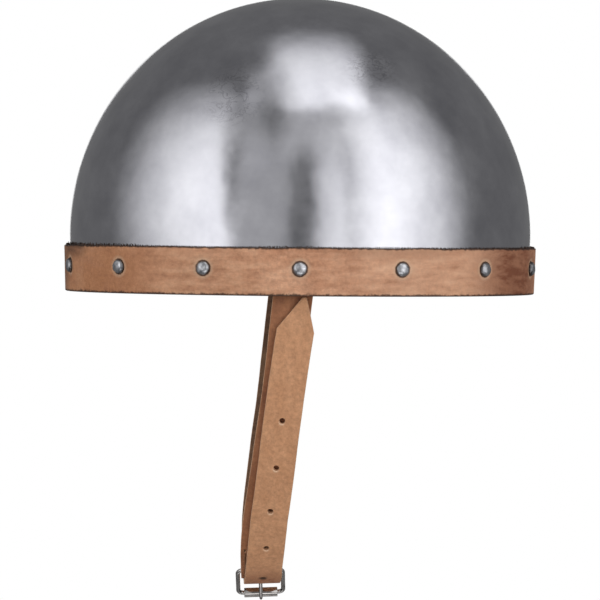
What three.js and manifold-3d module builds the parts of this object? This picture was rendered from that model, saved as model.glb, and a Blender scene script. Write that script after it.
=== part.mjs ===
// A plain steel skull cap with a leather band riveted round its rim, a tongued leather lining
// and a leather chin strap that hangs fastened in a roller buckle.
// Millimetres. Z is up, the rim plane is z = 0, the face looks to -X and the wearer's left is -Y.
import * as THREE from "three";
import { mergeVertices } from "three/addons/utils/BufferGeometryUtils.js";
import Module from "manifold-3d";

const wasm = await Module();
wasm.setup();

const fullTurn = 2 * Math.PI;
const halfTurn = Math.PI;
const quarterTurn = Math.PI / 2;

// Steel bowl: an oval dome on a low wall that leans in towards the rim
const bowlHalfLength = 115;
const bowlHalfWidth = 98;
const bowlRise = 118.7;
const wallHeight = 28;
const wallLean = 1;
const steelThickness = 2;
const steelEdgeHeight = 2;

// Leather band round the outside of the rim, a strip whose ends meet at the back
const bandHeight = 23;
const bandThickness = 2.6;
const bandGap = 0.3;
const bandChamfer = 0.5;
const bandJoint = 0.6;

// Leather lining: a strip inside the rim that is cut into tongues above
const liningThickness = 2;
const liningGap = 0.3;
const liningEdgeHeight = 3.5;
const crownSpace = 16.7;
const tongueCount = 8;
const tongueRoot = THREE.MathUtils.degToRad(6);
const tongueSunk = THREE.MathUtils.degToRad(1.5);
const tongueSunkInset = 0.5;
const tongueTip = THREE.MathUtils.degToRad(76);
const tongueShoulder = THREE.MathUtils.degToRad(72);
const tongueTipShare = 0.55;
const tongueRows = 7;
const tongueColumns = 4;
const slitHalfWidth = 1.4;
const slitFlare = 1.8;

// Lace that draws the tongue tips together under the crown
const laceRadius = 1;
const laceGap = 0.4;
const laceHole = 2;
const laceHoleInset = 7;
const laceCrossing = 1.5;
const laceKnot = 2.7;
const laceTail = 22;
const laceTailSpread = 5;

// Rivets through band, steel and lining, with a burr under each peened end
const rivetCount = 14;
const rivetHeight = 13;
const rivetHeadRadius = 3.6;
const rivetHeadHeight = 1.8;
const rivetShankRadius = 1.5;
const rivetTailRadius = 2.3;
const rivetTailHeight = 0.9;
const rivetHoleGap = 0.3;
const burrRadius = 3.5;
const burrThickness = 0.9;
const burrHoleGap = 0.2;
const burrTailGap = 0.15;
const seatGap = 0.3;

// Chin strap: two leather straps on the side rivets, one folded round the buckle's back bar
const strapThickness = 2.6;
const strapChamfer = 0.5;
const buckleStrapWidth = 19;
const holedStrapWidth = 18;
const strapStandOff = 2.1;
const strapPivotGap = 0.1;
const strapLayerGap = 0.25;
const strapRivetForward = 1.5;
const strapSlant = THREE.MathUtils.degToRad(7.7);
const strapDrop = 41.6;
const hangBendLength = 29;
const hangTurn = THREE.MathUtils.degToRad(10);
const sideTurn = THREE.MathUtils.degToRad(45);
const sideBendShare = 1.5655;
const chinBendShare = 0.5108;
const farBendShare = 1.0881;
const foldBackLength = 45;
const foldBackFlat = 8;
const holedTipRise = 0.2;
const holedTipLength = 16.5;
const holedTipHalfWidth = 1.2;
const holedTipSkew = 1.9;
const strapHoleRadius = 1.35;
const strapHolePitch = 24.2;

// The strap's holes past the one that the prong holds, as shares of their pitch
const strapHoleShares = [1, 2.1, 3.1, 4.1, 5.1];

// Neither strap hangs quite true: each stands off sideways, in shares of the sway by its length
const strapSway = 1;
const buckleStrapSwayShares = [
  [0, -1.7],
  [0.3, 0],
  [1, 0],
];
const holedStrapSwayShares = [
  [0, -2.6],
  [0.25, -0.4],
  [0.54, 0.6],
  [0.565, 0.6],
  [0.71, 3.2],
  [0.88, 1.9],
  [1, 2.4],
];

// Roller buckle: a bent wire frame, a roller on its front bar and a prong on its back bar
const wireRadius = 1.1;
const buckleInsideWidth = 20.2;
const buckleLength = 19;
const buckleCorner = 2.6;
const buckleTilt = THREE.MathUtils.degToRad(49);
const barGap = 0.15;
const rollerRadius = 2.4;
const rollerEndGap = 0.3;
const prongWidth = 1.9;
const prongThickness = 1.5;
const prongChamfer = 0.3;
const prongBarGap = 0.1;
const prongRestGap = 0.15;
const prongOverhang = 1.8;
const prongWrap = THREE.MathUtils.degToRad(290);
const prongSlotGap = 0.65;
const prongSlotReach = 1.2;
const prongHoleGap = 0.45;

// How finely round forms are cut into facets
const bowlFacets = 56;
const domeRows = 9;
const crownElevation = THREE.MathUtils.degToRad(87);
const rivetFacets = 10;
const rivetDomeSteps = 3;
const holeFacets = 8;
const pivotFacets = 16;
const rollerFacets = 20;
const rodFacets = 8;
const laceFacets = 5;
const laceSteps = 60;
const cornerSteps = 4;
const endSteps = 5;
const bendSag = 0.075;

// Every cut runs on past the body it cuts by this much
const overrun = 3;

const finishes = {
  steel: new THREE.MeshStandardMaterial({ color: 0x9b9fa3, metalness: 1, roughness: 0.28 }),
  bandLeather: new THREE.MeshStandardMaterial({ color: 0xb98661, metalness: 0, roughness: 0.7 }),
  strapLeather: new THREE.MeshStandardMaterial({ color: 0xb58762, metalness: 0, roughness: 0.72 }),
  liningLeather: new THREE.MeshStandardMaterial({ color: 0x9a6a45, metalness: 0, roughness: 0.85 }),
  lace: new THREE.MeshStandardMaterial({ color: 0x6b4429, metalness: 0, roughness: 0.8 }),
  rivet: new THREE.MeshStandardMaterial({ color: 0x8d9093, metalness: 1, roughness: 0.35 }),
  buckle: new THREE.MeshStandardMaterial({ color: 0xa9abad, metalness: 1, roughness: 0.2 }),
};

// General shapes

// A closed body lofted through rings of points: joined back to its start, or shut by flat ends
function loft(rings, endless = false) {
  const count = rings[0].length;
  const corner = (ring, place) => (ring % rings.length) * count + (place % count);
  const faces = [];
  const addQuad = (a, b, c, d) => faces.push([a, b, c], [a, c, d]);
  const spans = endless ? rings.length : rings.length - 1;
  for (let ring = 0; ring < spans; ring += 1) {
    for (let place = 0; place < count; place += 1) {
      addQuad(
        corner(ring, place),
        corner(ring, place + 1),
        corner(ring + 1, place + 1),
        corner(ring + 1, place),
      );
    }
  }
  const last = rings.length - 1;
  for (let place = 0; !endless && place + 1 < count / 2; place += 1) {
    const mirrored = count - 1 - place;
    addQuad(corner(0, place), corner(0, mirrored), corner(0, mirrored - 1), corner(0, place + 1));
    addQuad(
      corner(last, place),
      corner(last, place + 1),
      corner(last, mirrored - 1),
      corner(last, mirrored),
    );
  }
  const points = rings.flat();
  const volume = faces.reduce((sum, [a, b, c]) => {
    const across = new THREE.Vector3().crossVectors(points[b], points[c]);
    return sum + points[a].dot(across);
  }, 0);
  const outward = volume < 0 ? faces.map(([a, b, c]) => [a, c, b]) : faces;
  const geometry = new THREE.BufferGeometry().setFromPoints(points);
  geometry.setIndex(outward.flat());
  return geometry;
}

// The same closed geometry as a solid that can be cut and joined
function solidOf(geometry) {
  const bare = geometry.clone();
  bare.deleteAttribute("normal");
  bare.deleteAttribute("uv");
  const merged = mergeVertices(bare);
  return new wasm.Manifold(
    new wasm.Mesh({
      numProp: 3,
      vertProperties: merged.attributes.position.array,
      triVerts: new Uint32Array(merged.index.array),
    }),
  );
}

// The geometry of a cut or joined solid
function geometryOf(solid) {
  const { vertProperties, triVerts } = solid.getMesh();
  const geometry = new THREE.BufferGeometry();
  geometry.setAttribute("position", new THREE.BufferAttribute(vertProperties, 3));
  geometry.setIndex(new THREE.BufferAttribute(triVerts, 1));
  return geometry;
}

function cutAll(body, cutters) {
  return cutters.reduce((solid, cutter) => solid.subtract(solidOf(cutter)), solidOf(body));
}

function joinAll(bodies) {
  return bodies.map(solidOf).reduce((sum, body) => sum.add(body));
}

function piece(name, geometry, finish) {
  const shaded = geometry.toNonIndexed();
  shaded.computeVertexNormals();
  const mesh = new THREE.Mesh(shaded, finish);
  mesh.name = name;
  return mesh;
}

// A body turned about Z from a profile of radius and height pairs
function turned(profile, facets) {
  const points = profile.map(([radius, height]) => new THREE.Vector2(radius, height));
  return new THREE.LatheGeometry(points, facets).rotateX(quarterTurn);
}

// A round rod between two heights on the Z axis
function rod(radius, from, to, facets) {
  const length = to - from;
  const geometry = new THREE.CylinderGeometry(radius, radius, length, facets);
  return geometry.rotateX(quarterTurn).translate(0, 0, from + length / 2);
}

function blockBetween(low, high) {
  const size = high.clone().sub(low);
  const middle = low.clone().add(high).divideScalar(2);
  return new THREE.BoxGeometry(size.x, size.y, size.z).translate(middle.x, middle.y, middle.z);
}

// The placement that stands a body's Z axis along a direction at a point
function standing(point, direction) {
  const turn = new THREE.Quaternion().setFromUnitVectors(
    new THREE.Vector3(0, 0, 1),
    direction.clone().normalize(),
  );
  return new THREE.Matrix4().compose(point, turn, new THREE.Vector3(1, 1, 1));
}

function smoothStep(share) {
  const held = Math.min(1, Math.max(0, share));
  return held * held * (3 - 2 * held);
}

// A value that runs smoothly from one of a table's places to the next
function eased(table, place) {
  const next = Math.max(1, table.findIndex(([at]) => at >= Math.min(1, place)));
  const [[from, low], [to, high]] = [table[next - 1], table[next]];
  return THREE.MathUtils.lerp(low, high, smoothStep((place - from) / (to - from)));
}

// Routes in the plane of Y and Z: straight runs and round bends from a start and a heading

function route(start, heading, legs) {
  const stations = [{ y: start.y, z: start.z, heading, along: 0 }];
  const advance = (length, turn) => {
    const from = stations[stations.length - 1];
    const chordHeading = from.heading + turn / 2;
    const chord = turn === 0 ? length : (2 * length * Math.sin(Math.abs(turn) / 2)) / Math.abs(turn);
    stations.push({
      y: from.y + chord * Math.cos(chordHeading),
      z: from.z + chord * Math.sin(chordHeading),
      heading: from.heading + turn,
      along: from.along + length,
    });
  };
  for (const { run = 0, radius = 0, turn = 0 } of legs) {
    if (run > 0) advance(run, 0);
    if (turn === 0) continue;
    const facetTurn = 2 * Math.acos(1 - bendSag / radius);
    const steps = Math.max(2, Math.ceil(Math.abs(turn) / facetTurn));
    for (let step = 0; step < steps; step += 1) {
      advance((radius * Math.abs(turn)) / steps, turn / steps);
    }
  }
  return stations;
}

// The station of a route at a distance along it
function stationAt(stations, along) {
  const next = Math.max(1, stations.findIndex((station) => station.along >= along));
  const [from, to] = [stations[next - 1], stations[next]];
  const share = (along - from.along) / (to.along - from.along);
  return {
    y: THREE.MathUtils.lerp(from.y, to.y, share),
    z: THREE.MathUtils.lerp(from.z, to.z, share),
    heading: THREE.MathUtils.lerp(from.heading, to.heading, share),
    along,
  };
}

// A route with stations added at the given distances, so that outlines can change there
function withStations(stations, distances) {
  const added = distances.map((along) => stationAt(stations, along));
  const kept = stations.filter((old) => added.every((one) => Math.abs(one.along - old.along) > bendSag));
  return [...kept, ...added].sort((one, other) => one.along - other.along);
}

// A flat strip along a route, its width across X: widths and sideways shifts follow the distance
function strip(stations, thickness, chamfer, halfWidthAt, shiftAt) {
  const rings = stations.map((station) => {
    const halfWidth = halfWidthAt(station.along);
    const shift = shiftAt(station.along);
    const half = thickness / 2;
    const [faceY, faceZ] = [-Math.sin(station.heading), Math.cos(station.heading)];
    const outline = [
      [-halfWidth, half - chamfer],
      [chamfer - halfWidth, half],
      [halfWidth - chamfer, half],
      [halfWidth, half - chamfer],
      [halfWidth, chamfer - half],
      [halfWidth - chamfer, -half],
      [chamfer - halfWidth, -half],
      [-halfWidth, chamfer - half],
    ];
    return outline.map(
      ([side, face]) =>
        new THREE.Vector3(shift + side, station.y + face * faceY, station.z + face * faceZ),
    );
  });
  return loft(rings);
}

// The oval of the bowl

// How far the tongues would rise over the wall if they met under the crown
const liningRise = bowlRise - steelThickness - crownSpace;

// The outline's half length and half width at a height, for a layer some depth inside the steel's face
function wallOval(depth, height) {
  const lean = (wallLean * (wallHeight - height)) / wallHeight;
  return [bowlHalfLength - depth - lean, bowlHalfWidth - depth - lean];
}

function ovalRing([halfLength, halfWidth], height) {
  return Array.from({ length: bowlFacets }, (_, place) => {
    const angle = (fullTurn * place) / bowlFacets;
    return new THREE.Vector3(halfLength * Math.cos(angle), halfWidth * Math.sin(angle), height);
  });
}

function wallRing(depth, height) {
  return ovalRing(wallOval(depth, height), height);
}

// A point of the dome above the wall, by its elevation and its angle round the bowl
function domePoint(depth, rise, elevation, angle) {
  const level = Math.cos(elevation);
  return new THREE.Vector3(
    (bowlHalfLength - depth) * level * Math.cos(angle),
    (bowlHalfWidth - depth) * level * Math.sin(angle),
    wallHeight + rise * Math.sin(elevation),
  );
}

function domeRing(depth, rise, elevation) {
  const level = Math.cos(elevation);
  const oval = [(bowlHalfLength - depth) * level, (bowlHalfWidth - depth) * level];
  return ovalRing(oval, wallHeight + rise * Math.sin(elevation));
}

// Angles that divide the oval at the rivets' height into equal lengths, the first at the wearer's left
function evenAngles(count) {
  const [halfLength, halfWidth] = wallOval(0, rivetHeight);
  const fineSteps = count * bowlFacets;
  const lengths = [0];
  for (let step = 1; step <= fineSteps; step += 1) {
    const angle = (fullTurn * (step - 1 / 2)) / fineSteps - quarterTurn;
    const pace = Math.hypot(halfLength * Math.sin(angle), halfWidth * Math.cos(angle));
    lengths.push(lengths[step - 1] + pace);
  }
  return Array.from({ length: count }, (_, place) => {
    const target = (lengths[fineSteps] * place) / count;
    const step = Math.max(1, lengths.findIndex((length) => length >= target));
    const share = (target - lengths[step - 1]) / (lengths[step] - lengths[step - 1]);
    return (fullTurn * (step - 1 + share)) / fineSteps - quarterTurn;
  });
}

// Depths of the layers inside the steel's outer face
const liningDepth = steelThickness + liningGap;
const liningFace = liningDepth + liningThickness;
const strapFace = liningFace + strapStandOff;
const strapInnerFace = strapFace + strapThickness;

// The side rivets, at the wearer's left and right, also carry the chin strap
const strapRivets = [0, rivetCount / 2];

// A side rivet lies straight across, a little forward of the middle
function strapRivetPlace(side) {
  const [halfLength, halfWidth] = wallOval(0, rivetHeight);
  const reach = halfWidth * Math.sqrt(1 - (strapRivetForward / halfLength) ** 2);
  const point = new THREE.Vector3(-strapRivetForward, side * reach, rivetHeight);
  return standing(point, new THREE.Vector3(0, side, 0));
}

// Where each rivet stands: on the steel's outer face, looking straight out
const rivetPlaces = evenAngles(rivetCount).map((angle, index) => {
  if (strapRivets.includes(index)) return strapRivetPlace(Math.sign(angle));
  const [halfLength, halfWidth] = wallOval(0, rivetHeight);
  const point = new THREE.Vector3(
    halfLength * Math.cos(angle),
    halfWidth * Math.sin(angle),
    rivetHeight,
  );
  const outward = new THREE.Vector3(halfWidth * Math.cos(angle), halfLength * Math.sin(angle), 0);
  return standing(point, outward);
});

function rivetHoles(facets) {
  const reach = liningFace + overrun;
  const hole = rivetShankRadius + rivetHoleGap;
  return rivetPlaces.map((place) => rod(hole, -reach, reach, facets).applyMatrix4(place));
}

// Steel bowl: the outer face from the crown down, then the inner face back up
function makeSkull() {
  const elevations = Array.from(
    { length: domeRows },
    (_, row) => (crownElevation * (domeRows - row)) / domeRows,
  );
  const outer = elevations.map((elevation) => domeRing(0, bowlRise, elevation));
  const inner = elevations.map((elevation) =>
    domeRing(steelThickness, bowlRise - steelThickness, elevation),
  );
  const rings = [
    ...outer,
    wallRing(0, wallHeight),
    wallRing(0, steelEdgeHeight),
    wallRing(steelThickness, steelEdgeHeight),
    wallRing(steelThickness, wallHeight),
    ...inner.reverse(),
  ];
  return piece("steel_skull", geometryOf(cutAll(loft(rings), rivetHoles(holeFacets))), finishes.steel);
}

// Rim band: a strip with eased outer edges, open where its ends meet at the back
function makeRimBand() {
  const outer = bandGap + bandThickness;
  const rings = [
    wallRing(-bandGap, 0),
    wallRing(-bandGap, bandHeight),
    wallRing(bandChamfer - outer, bandHeight),
    wallRing(-outer, bandHeight - bandChamfer),
    wallRing(-outer, bandChamfer),
    wallRing(bandChamfer - outer, 0),
  ];
  const joint = blockBetween(
    new THREE.Vector3(bowlHalfLength - overrun, -bandJoint / 2, -overrun),
    new THREE.Vector3(bowlHalfLength + outer + overrun, bandJoint / 2, bandHeight + overrun),
  );
  const cutters = [...rivetHoles(holeFacets), joint];
  return piece("rim_band", geometryOf(cutAll(loft(rings, true), cutters)), finishes.bandLeather);
}

// The middle of the lining's thickness, where the lace passes
const liningMiddle = liningDepth + liningThickness / 2;
const liningMiddleRise = liningRise - liningThickness / 2;

// A tongue tip's hole: its middle, the way out through the leather and the way round the bowl
function laceHolePlace(angle) {
  const elevation = tongueTip - laceHoleInset / liningRise;
  const middle = domePoint(liningMiddle, liningMiddleRise, elevation, angle);
  const [halfLength, halfWidth] = [bowlHalfLength - liningMiddle, bowlHalfWidth - liningMiddle];
  const outward = new THREE.Vector3(
    middle.x / halfLength ** 2,
    middle.y / halfWidth ** 2,
    (middle.z - wallHeight) / liningMiddleRise ** 2,
  ).normalize();
  const round = new THREE.Vector3(-Math.sin(angle), Math.cos(angle), 0);
  return { middle, outward, round };
}

function tongueAngle(place) {
  return (fullTurn * (place + 1 / 2)) / tongueCount;
}

// Lining: the strip, with each tongue narrowing to its tip between slits that widen upwards
function makeLining() {
  const band = loft(
    [
      wallRing(liningDepth, liningEdgeHeight),
      wallRing(liningDepth, wallHeight),
      domeRing(liningDepth, liningRise, tongueRoot),
      domeRing(liningFace, liningRise - liningThickness, tongueRoot),
      wallRing(liningFace, wallHeight),
      wallRing(liningFace, liningEdgeHeight),
    ],
    true,
  );
  const rows = Array.from({ length: tongueRows }, (_, row) => ({
    elevation: tongueRoot + ((tongueShoulder - tongueRoot) * row) / (tongueRows - 1),
    inset: row === 0 ? tongueSunkInset : 0,
    share: 1,
  }));
  rows[0].elevation -= tongueSunk;
  rows.push({ elevation: tongueTip, inset: 0, share: tongueTipShare });
  const tongues = Array.from({ length: tongueCount }, (_, place) => {
    const rings = rows.map(({ elevation, inset, share }) => {
      const climb = Math.max(0, elevation - tongueRoot) / (tongueTip - tongueRoot);
      const reach = bowlHalfWidth * Math.cos(elevation);
      const slit = (slitHalfWidth + slitFlare * climb) / reach;
      const half = share * (halfTurn / tongueCount - slit);
      const face = (depth, rise) =>
        Array.from({ length: tongueColumns + 1 }, (_unused, column) => {
          const angle = tongueAngle(place) + half * ((2 * column) / tongueColumns - 1);
          return domePoint(depth, rise, elevation, angle);
        });
      const outer = face(liningDepth + inset, liningRise - inset);
      const inner = face(liningFace - inset, liningRise - liningThickness + inset);
      return [...outer, ...inner.reverse()];
    });
    return loft(rings);
  });
  const laceHoles = Array.from({ length: tongueCount }, (_, place) => {
    const { middle, outward } = laceHolePlace(tongueAngle(place));
    const reach = liningThickness / 2 + overrun;
    return rod(laceHole, -reach, reach, holeFacets).applyMatrix4(standing(middle, outward));
  });
  const cutters = [...rivetHoles(holeFacets), ...laceHoles].map(solidOf);
  const cut = cutters.reduce((solid, cutter) => solid.subtract(cutter), joinAll([band, ...tongues]));
  return piece("lining", geometryOf(cut), finishes.liningLeather);
}

// A cord of round section along a curve
function cord(curve, radius, steps, endless) {
  const frames = curve.computeFrenetFrames(steps, endless);
  const rings = Array.from({ length: endless ? steps : steps + 1 }, (_, step) => {
    const middle = curve.getPointAt(step / steps);
    return Array.from({ length: laceFacets }, (_unused, facet) => {
      const angle = (fullTurn * (facet + 1 / 2)) / laceFacets;
      return middle
        .clone()
        .addScaledVector(frames.normals[step], radius * Math.cos(angle))
        .addScaledVector(frames.binormals[step], radius * Math.sin(angle));
    });
  });
  return loft(rings, endless);
}

// Crown lace: in through one tongue tip and out through the next, knotted between two of them
function makeLace() {
  const bow = liningThickness / 2 + laceRadius + laceGap;
  const points = [];
  for (let place = 0; place < tongueCount; place += 1) {
    const side = place % 2 === 0 ? 1 : -1;
    const { middle, outward, round } = laceHolePlace(tongueAngle(place));
    points.push(
      middle.clone().addScaledVector(round, -laceCrossing).addScaledVector(outward, -side * bow),
      middle.clone().addScaledVector(round, laceCrossing).addScaledVector(outward, side * bow),
    );
    const between = laceHolePlace(tongueAngle(place + 1 / 2));
    points.push(between.middle.clone().addScaledVector(between.outward, side * bow));
  }
  const ring = cord(new THREE.CatmullRomCurve3(points, true), laceRadius, laceSteps, true);
  const knotPlace = points[points.length - 1];
  const knot = new THREE.SphereGeometry(laceKnot, laceFacets, laceFacets);
  knot.translate(knotPlace.x, knotPlace.y, knotPlace.z);
  const { round } = laceHolePlace(tongueAngle(tongueCount - 1 / 2));
  const tails = [-1, 1].map((side) => {
    const end = knotPlace.clone().addScaledVector(round, side * laceTailSpread);
    const bend = end.clone();
    bend.z -= laceTailSpread;
    end.z -= laceTail;
    const curve = new THREE.CatmullRomCurve3([knotPlace.clone(), bend, end]);
    return cord(curve, laceRadius, laceFacets, false);
  });
  return piece("crown_lace", geometryOf(joinAll([ring, knot, ...tails])), finishes.lace);
}

// A rivet along Z from the steel's face: domed head, shank and peened end inside its burr
function rivetBody(burrFace) {
  const headSeat = bandGap + bandThickness + seatGap;
  const tailTop = burrFace - burrThickness - burrTailGap;
  const dome = (radius, height) =>
    Array.from({ length: rivetDomeSteps + 1 }, (_, step) => {
      const angle = (quarterTurn * step) / rivetDomeSteps;
      return [radius * Math.sin(angle), height * Math.cos(angle)];
    });
  const head = dome(rivetHeadRadius, rivetHeadHeight).map(([radius, rise]) => [radius, headSeat + rise]);
  const tail = dome(rivetTailRadius, rivetTailHeight).map(([radius, rise]) => [radius, tailTop - rise]);
  const profile = [
    ...head,
    [rivetShankRadius, headSeat],
    [rivetShankRadius, tailTop],
    ...tail.reverse(),
  ];
  return turned(profile.reverse(), rivetFacets);
}

function burrBody(burrFace) {
  const hole = rivetShankRadius + burrHoleGap;
  const underside = burrFace - burrThickness;
  const profile = [
    [hole, underside],
    [burrRadius, underside],
    [burrRadius, burrFace],
    [hole, burrFace],
    [hole, underside],
  ];
  return turned(profile, rivetFacets);
}

// Each rivet and its burr, the side ones long enough to hold the strap as well
function makeRivets() {
  return rivetPlaces.flatMap((place, index) => {
    const innermost = strapRivets.includes(index) ? strapInnerFace : liningFace;
    const burrFace = -innermost - seatGap;
    const label = String(index + 1).padStart(2, "0");
    const rivet = piece(`rim_rivet_${label}`, rivetBody(burrFace), finishes.rivet);
    const burr = piece(`rivet_burr_${label}`, burrBody(burrFace), finishes.rivet);
    for (const mesh of [rivet, burr]) {
      place.decompose(mesh.position, mesh.quaternion, mesh.scale);
    }
    return [rivet, burr];
  });
}

// The chin strap hangs in a plane through both side rivets, with Y = 0 in the middle and Z = 0 at them

// How far each strap's middle face lies from the middle of the helmet
const pivotHalfWidth = wallOval(0, rivetHeight)[1];
const strapSide = pivotHalfWidth - strapFace - strapThickness / 2;
const layerStep = strapThickness + strapLayerGap;

// The strap's bends follow the helmet's width: down the side, in under the chin and up the far side
const sideBend = sideBendShare * strapSide;
const chinBend = chinBendShare * strapSide;
const farBend = farBendShare * strapSide;

// The back bar's middle, on which the buckle strap folds
const foldRadius = wireRadius + barGap + strapThickness / 2;
const foldBottom = -(strapDrop + sideBend * Math.sin(sideTurn) + chinBend * (1 - Math.sin(sideTurn)));
const backBar = {
  y: sideBend * (1 - Math.cos(sideTurn)) + chinBend * Math.cos(sideTurn) - strapSide,
  z: foldBottom + foldRadius,
};

// Above the buckle the straps bend back in their own plane, and the buckle hangs true below the bend
const hangRadius = hangBendLength / hangTurn;
const hangStart = -backBar.z - foldRadius - strapThickness / 2 - hangBendLength;

function hungPoint(x, y, z) {
  const past = Math.max(0, -z - hangStart);
  const turn = Math.min(past, hangBendLength) / hangRadius;
  const below = Math.max(0, past - hangBendLength);
  if (past === 0) return new THREE.Vector3(x, y, z);
  return new THREE.Vector3(
    hangRadius - (hangRadius - x) * Math.cos(turn) + below * Math.sin(turn),
    y,
    -hangStart - (hangRadius - x) * Math.sin(turn) - below * Math.cos(turn),
  );
}

function hung(geometry) {
  const places = geometry.getAttribute("position");
  for (let index = 0; index < places.count; index += 1) {
    const moved = hungPoint(places.getX(index), places.getY(index), places.getZ(index));
    places.setXYZ(index, moved.x, moved.y, moved.z);
  }
  return geometry;
}

// Half width of a strap near its rounded end, the end's round centred on the rivet
function roundedEnd(halfWidth, along) {
  const inset = Math.min(along, halfWidth);
  return Math.sqrt(halfWidth ** 2 - (halfWidth - inset) ** 2);
}

function endDistances(halfWidth) {
  return Array.from({ length: endSteps }, (_, step) => {
    const angle = (quarterTurn * (step + 1)) / endSteps;
    return halfWidth * (1 - Math.cos(angle));
  });
}

// A strap's stations from just inside its rounded end
function fromRoundedEnd(stations, halfWidth) {
  const distances = endDistances(halfWidth);
  return withStations(stations, distances).filter((station) => station.along >= distances[0]);
}

function pivotHole(side) {
  const reach = strapThickness / 2 + overrun;
  const hole = rod(rivetShankRadius + strapPivotGap, -reach, reach, pivotFacets);
  return hole.applyMatrix4(
    standing(new THREE.Vector3(0, side * strapSide, 0), new THREE.Vector3(0, side, 0)),
  );
}

// Buckle strap: down from the wearer's left, in under the chin, round the back bar and back up inside
function makeBuckleStrap() {
  const half = buckleStrapWidth / 2;
  const backRadius = chinBend - 2 * foldRadius;
  const layerRadius = chinBend - layerStep;
  const meetRadius =
    (layerRadius + backRadius - foldBackFlat ** 2 / (layerRadius - backRadius)) / 2;
  const meetTurn = Math.asin(foldBackFlat / (layerRadius - meetRadius));
  const restTurn = quarterTurn - sideTurn - meetTurn;
  const used = foldBackFlat + meetRadius * meetTurn + layerRadius * restTurn;
  const upperRadius = sideBend - layerStep;
  const stations = route({ y: -strapSide, z: half }, -quarterTurn, [
    { run: half + strapDrop },
    { radius: sideBend, turn: sideTurn },
    { radius: chinBend, turn: quarterTurn - sideTurn },
    { radius: foldRadius, turn: halfTurn },
    { run: foldBackFlat, radius: meetRadius, turn: -meetTurn },
    { radius: layerRadius, turn: -restTurn },
    { radius: upperRadius, turn: -(foldBackLength - used) / upperRadius },
  ]);
  const length = stations[stations.length - 1].along;
  const body = strip(
    fromRoundedEnd(stations, half),
    strapThickness,
    strapChamfer,
    (along) => roundedEnd(half, along),
    (along) => strapSway * eased(buckleStrapSwayShares, along / length),
  );
  const slotHalf = prongWidth / 2 + prongSlotGap;
  const slotReach = foldRadius + strapThickness / 2 + prongSlotReach;
  const slotDepth = foldRadius + strapThickness;
  const slot = blockBetween(
    new THREE.Vector3(-slotHalf, backBar.y - slotReach, backBar.z - slotDepth),
    new THREE.Vector3(slotHalf, backBar.y + slotReach, backBar.z + slotDepth),
  );
  const solid = cutAll(body, [pivotHole(-1), slot]);
  return piece("buckle_strap", hung(geometryOf(solid)), finishes.strapLeather);
}

// The buckle's own frame: its length runs to -Z and its face looks to -Y, about the back bar
const bucklePlace = new THREE.Matrix4()
  .makeTranslation(0, backBar.y, backBar.z)
  .multiply(new THREE.Matrix4().makeRotationX(buckleTilt));

// The prong's arm touches the circle of its own wrap and rests beside the roller
const prongWrapRadius = wireRadius + prongBarGap + prongThickness / 2;
const prongRestRadius = rollerRadius + prongRestGap + prongThickness / 2;
const prongRise = Math.asin((prongRestRadius - prongWrapRadius) / buckleLength);
const prongArm = buckleLength * Math.cos(prongRise);
const prongEnd = {
  y: -prongRestRadius * Math.cos(prongRise) - prongOverhang * Math.sin(prongRise),
  z: prongRestRadius * Math.sin(prongRise) - buckleLength - prongOverhang * Math.cos(prongRise),
};

// The hole that the prong holds lies along the prong
function prongHole() {
  const corner = Math.hypot(prongWidth, prongThickness) / 2;
  const tip = new THREE.Vector3(0, prongEnd.y, prongEnd.z);
  const along = new THREE.Vector3(0, Math.sin(prongRise), Math.cos(prongRise));
  const reach = prongArm + prongOverhang;
  const hole = rod(corner + prongHoleGap, 0, reach, holeFacets);
  return hole.applyMatrix4(standing(tip, along)).applyMatrix4(bucklePlace);
}

// Holed strap: down from the wearer's right, under the bar and up the outside to its pointed tip
function makeHoledStrap() {
  const half = holedStrapWidth / 2;
  const depth = layerStep - foldBottom;
  const bottomRun = strapSide - farBend - backBar.y;
  const [outerChin, outerSide] = [chinBend + layerStep, sideBend + layerStep];
  const tipRun = strapDrop - (rivetHeight - holedTipRise) / Math.cos(strapSlant);
  const stations = route({ y: strapSide, z: half }, -quarterTurn, [
    { run: half + depth - farBend },
    { radius: farBend, turn: -quarterTurn },
    { run: bottomRun },
    { radius: outerChin, turn: sideTurn - quarterTurn },
    { radius: outerSide, turn: -sideTurn },
    { run: tipRun },
  ]);
  const length = stations[stations.length - 1].along;
  const barAlong = half + depth - farBend + farBend * quarterTurn + bottomRun;
  const leftAt = (along) => Math.min(1, (length - along) / holedTipLength);
  const shiftAt = (along) =>
    strapSway * eased(holedStrapSwayShares, along / length) + holedTipSkew * (1 - leftAt(along));
  const halfWidthAt = (along) => {
    const left = leftAt(along);
    const pointed = holedTipHalfWidth + (half - holedTipHalfWidth) * left;
    return Math.min(roundedEnd(half, along), pointed);
  };
  const shaped = withStations(fromRoundedEnd(stations, half), [length - holedTipLength]);
  const body = strip(shaped, strapThickness, strapChamfer, halfWidthAt, shiftAt);
  const firstHole = barAlong - bottomRun / 2;
  const holes = strapHoleShares.map((share) => {
    const station = stationAt(stations, firstHole + strapHolePitch * share);
    const middle = new THREE.Vector3(shiftAt(station.along), station.y, station.z);
    const face = new THREE.Vector3(0, -Math.sin(station.heading), Math.cos(station.heading));
    const reach = strapThickness / 2 + overrun;
    return rod(strapHoleRadius, -reach, reach, holeFacets).applyMatrix4(standing(middle, face));
  });
  const solid = cutAll(body, [pivotHole(1), prongHole(), ...holes]);
  return piece("holed_strap", hung(geometryOf(solid)), finishes.strapLeather);
}

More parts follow.
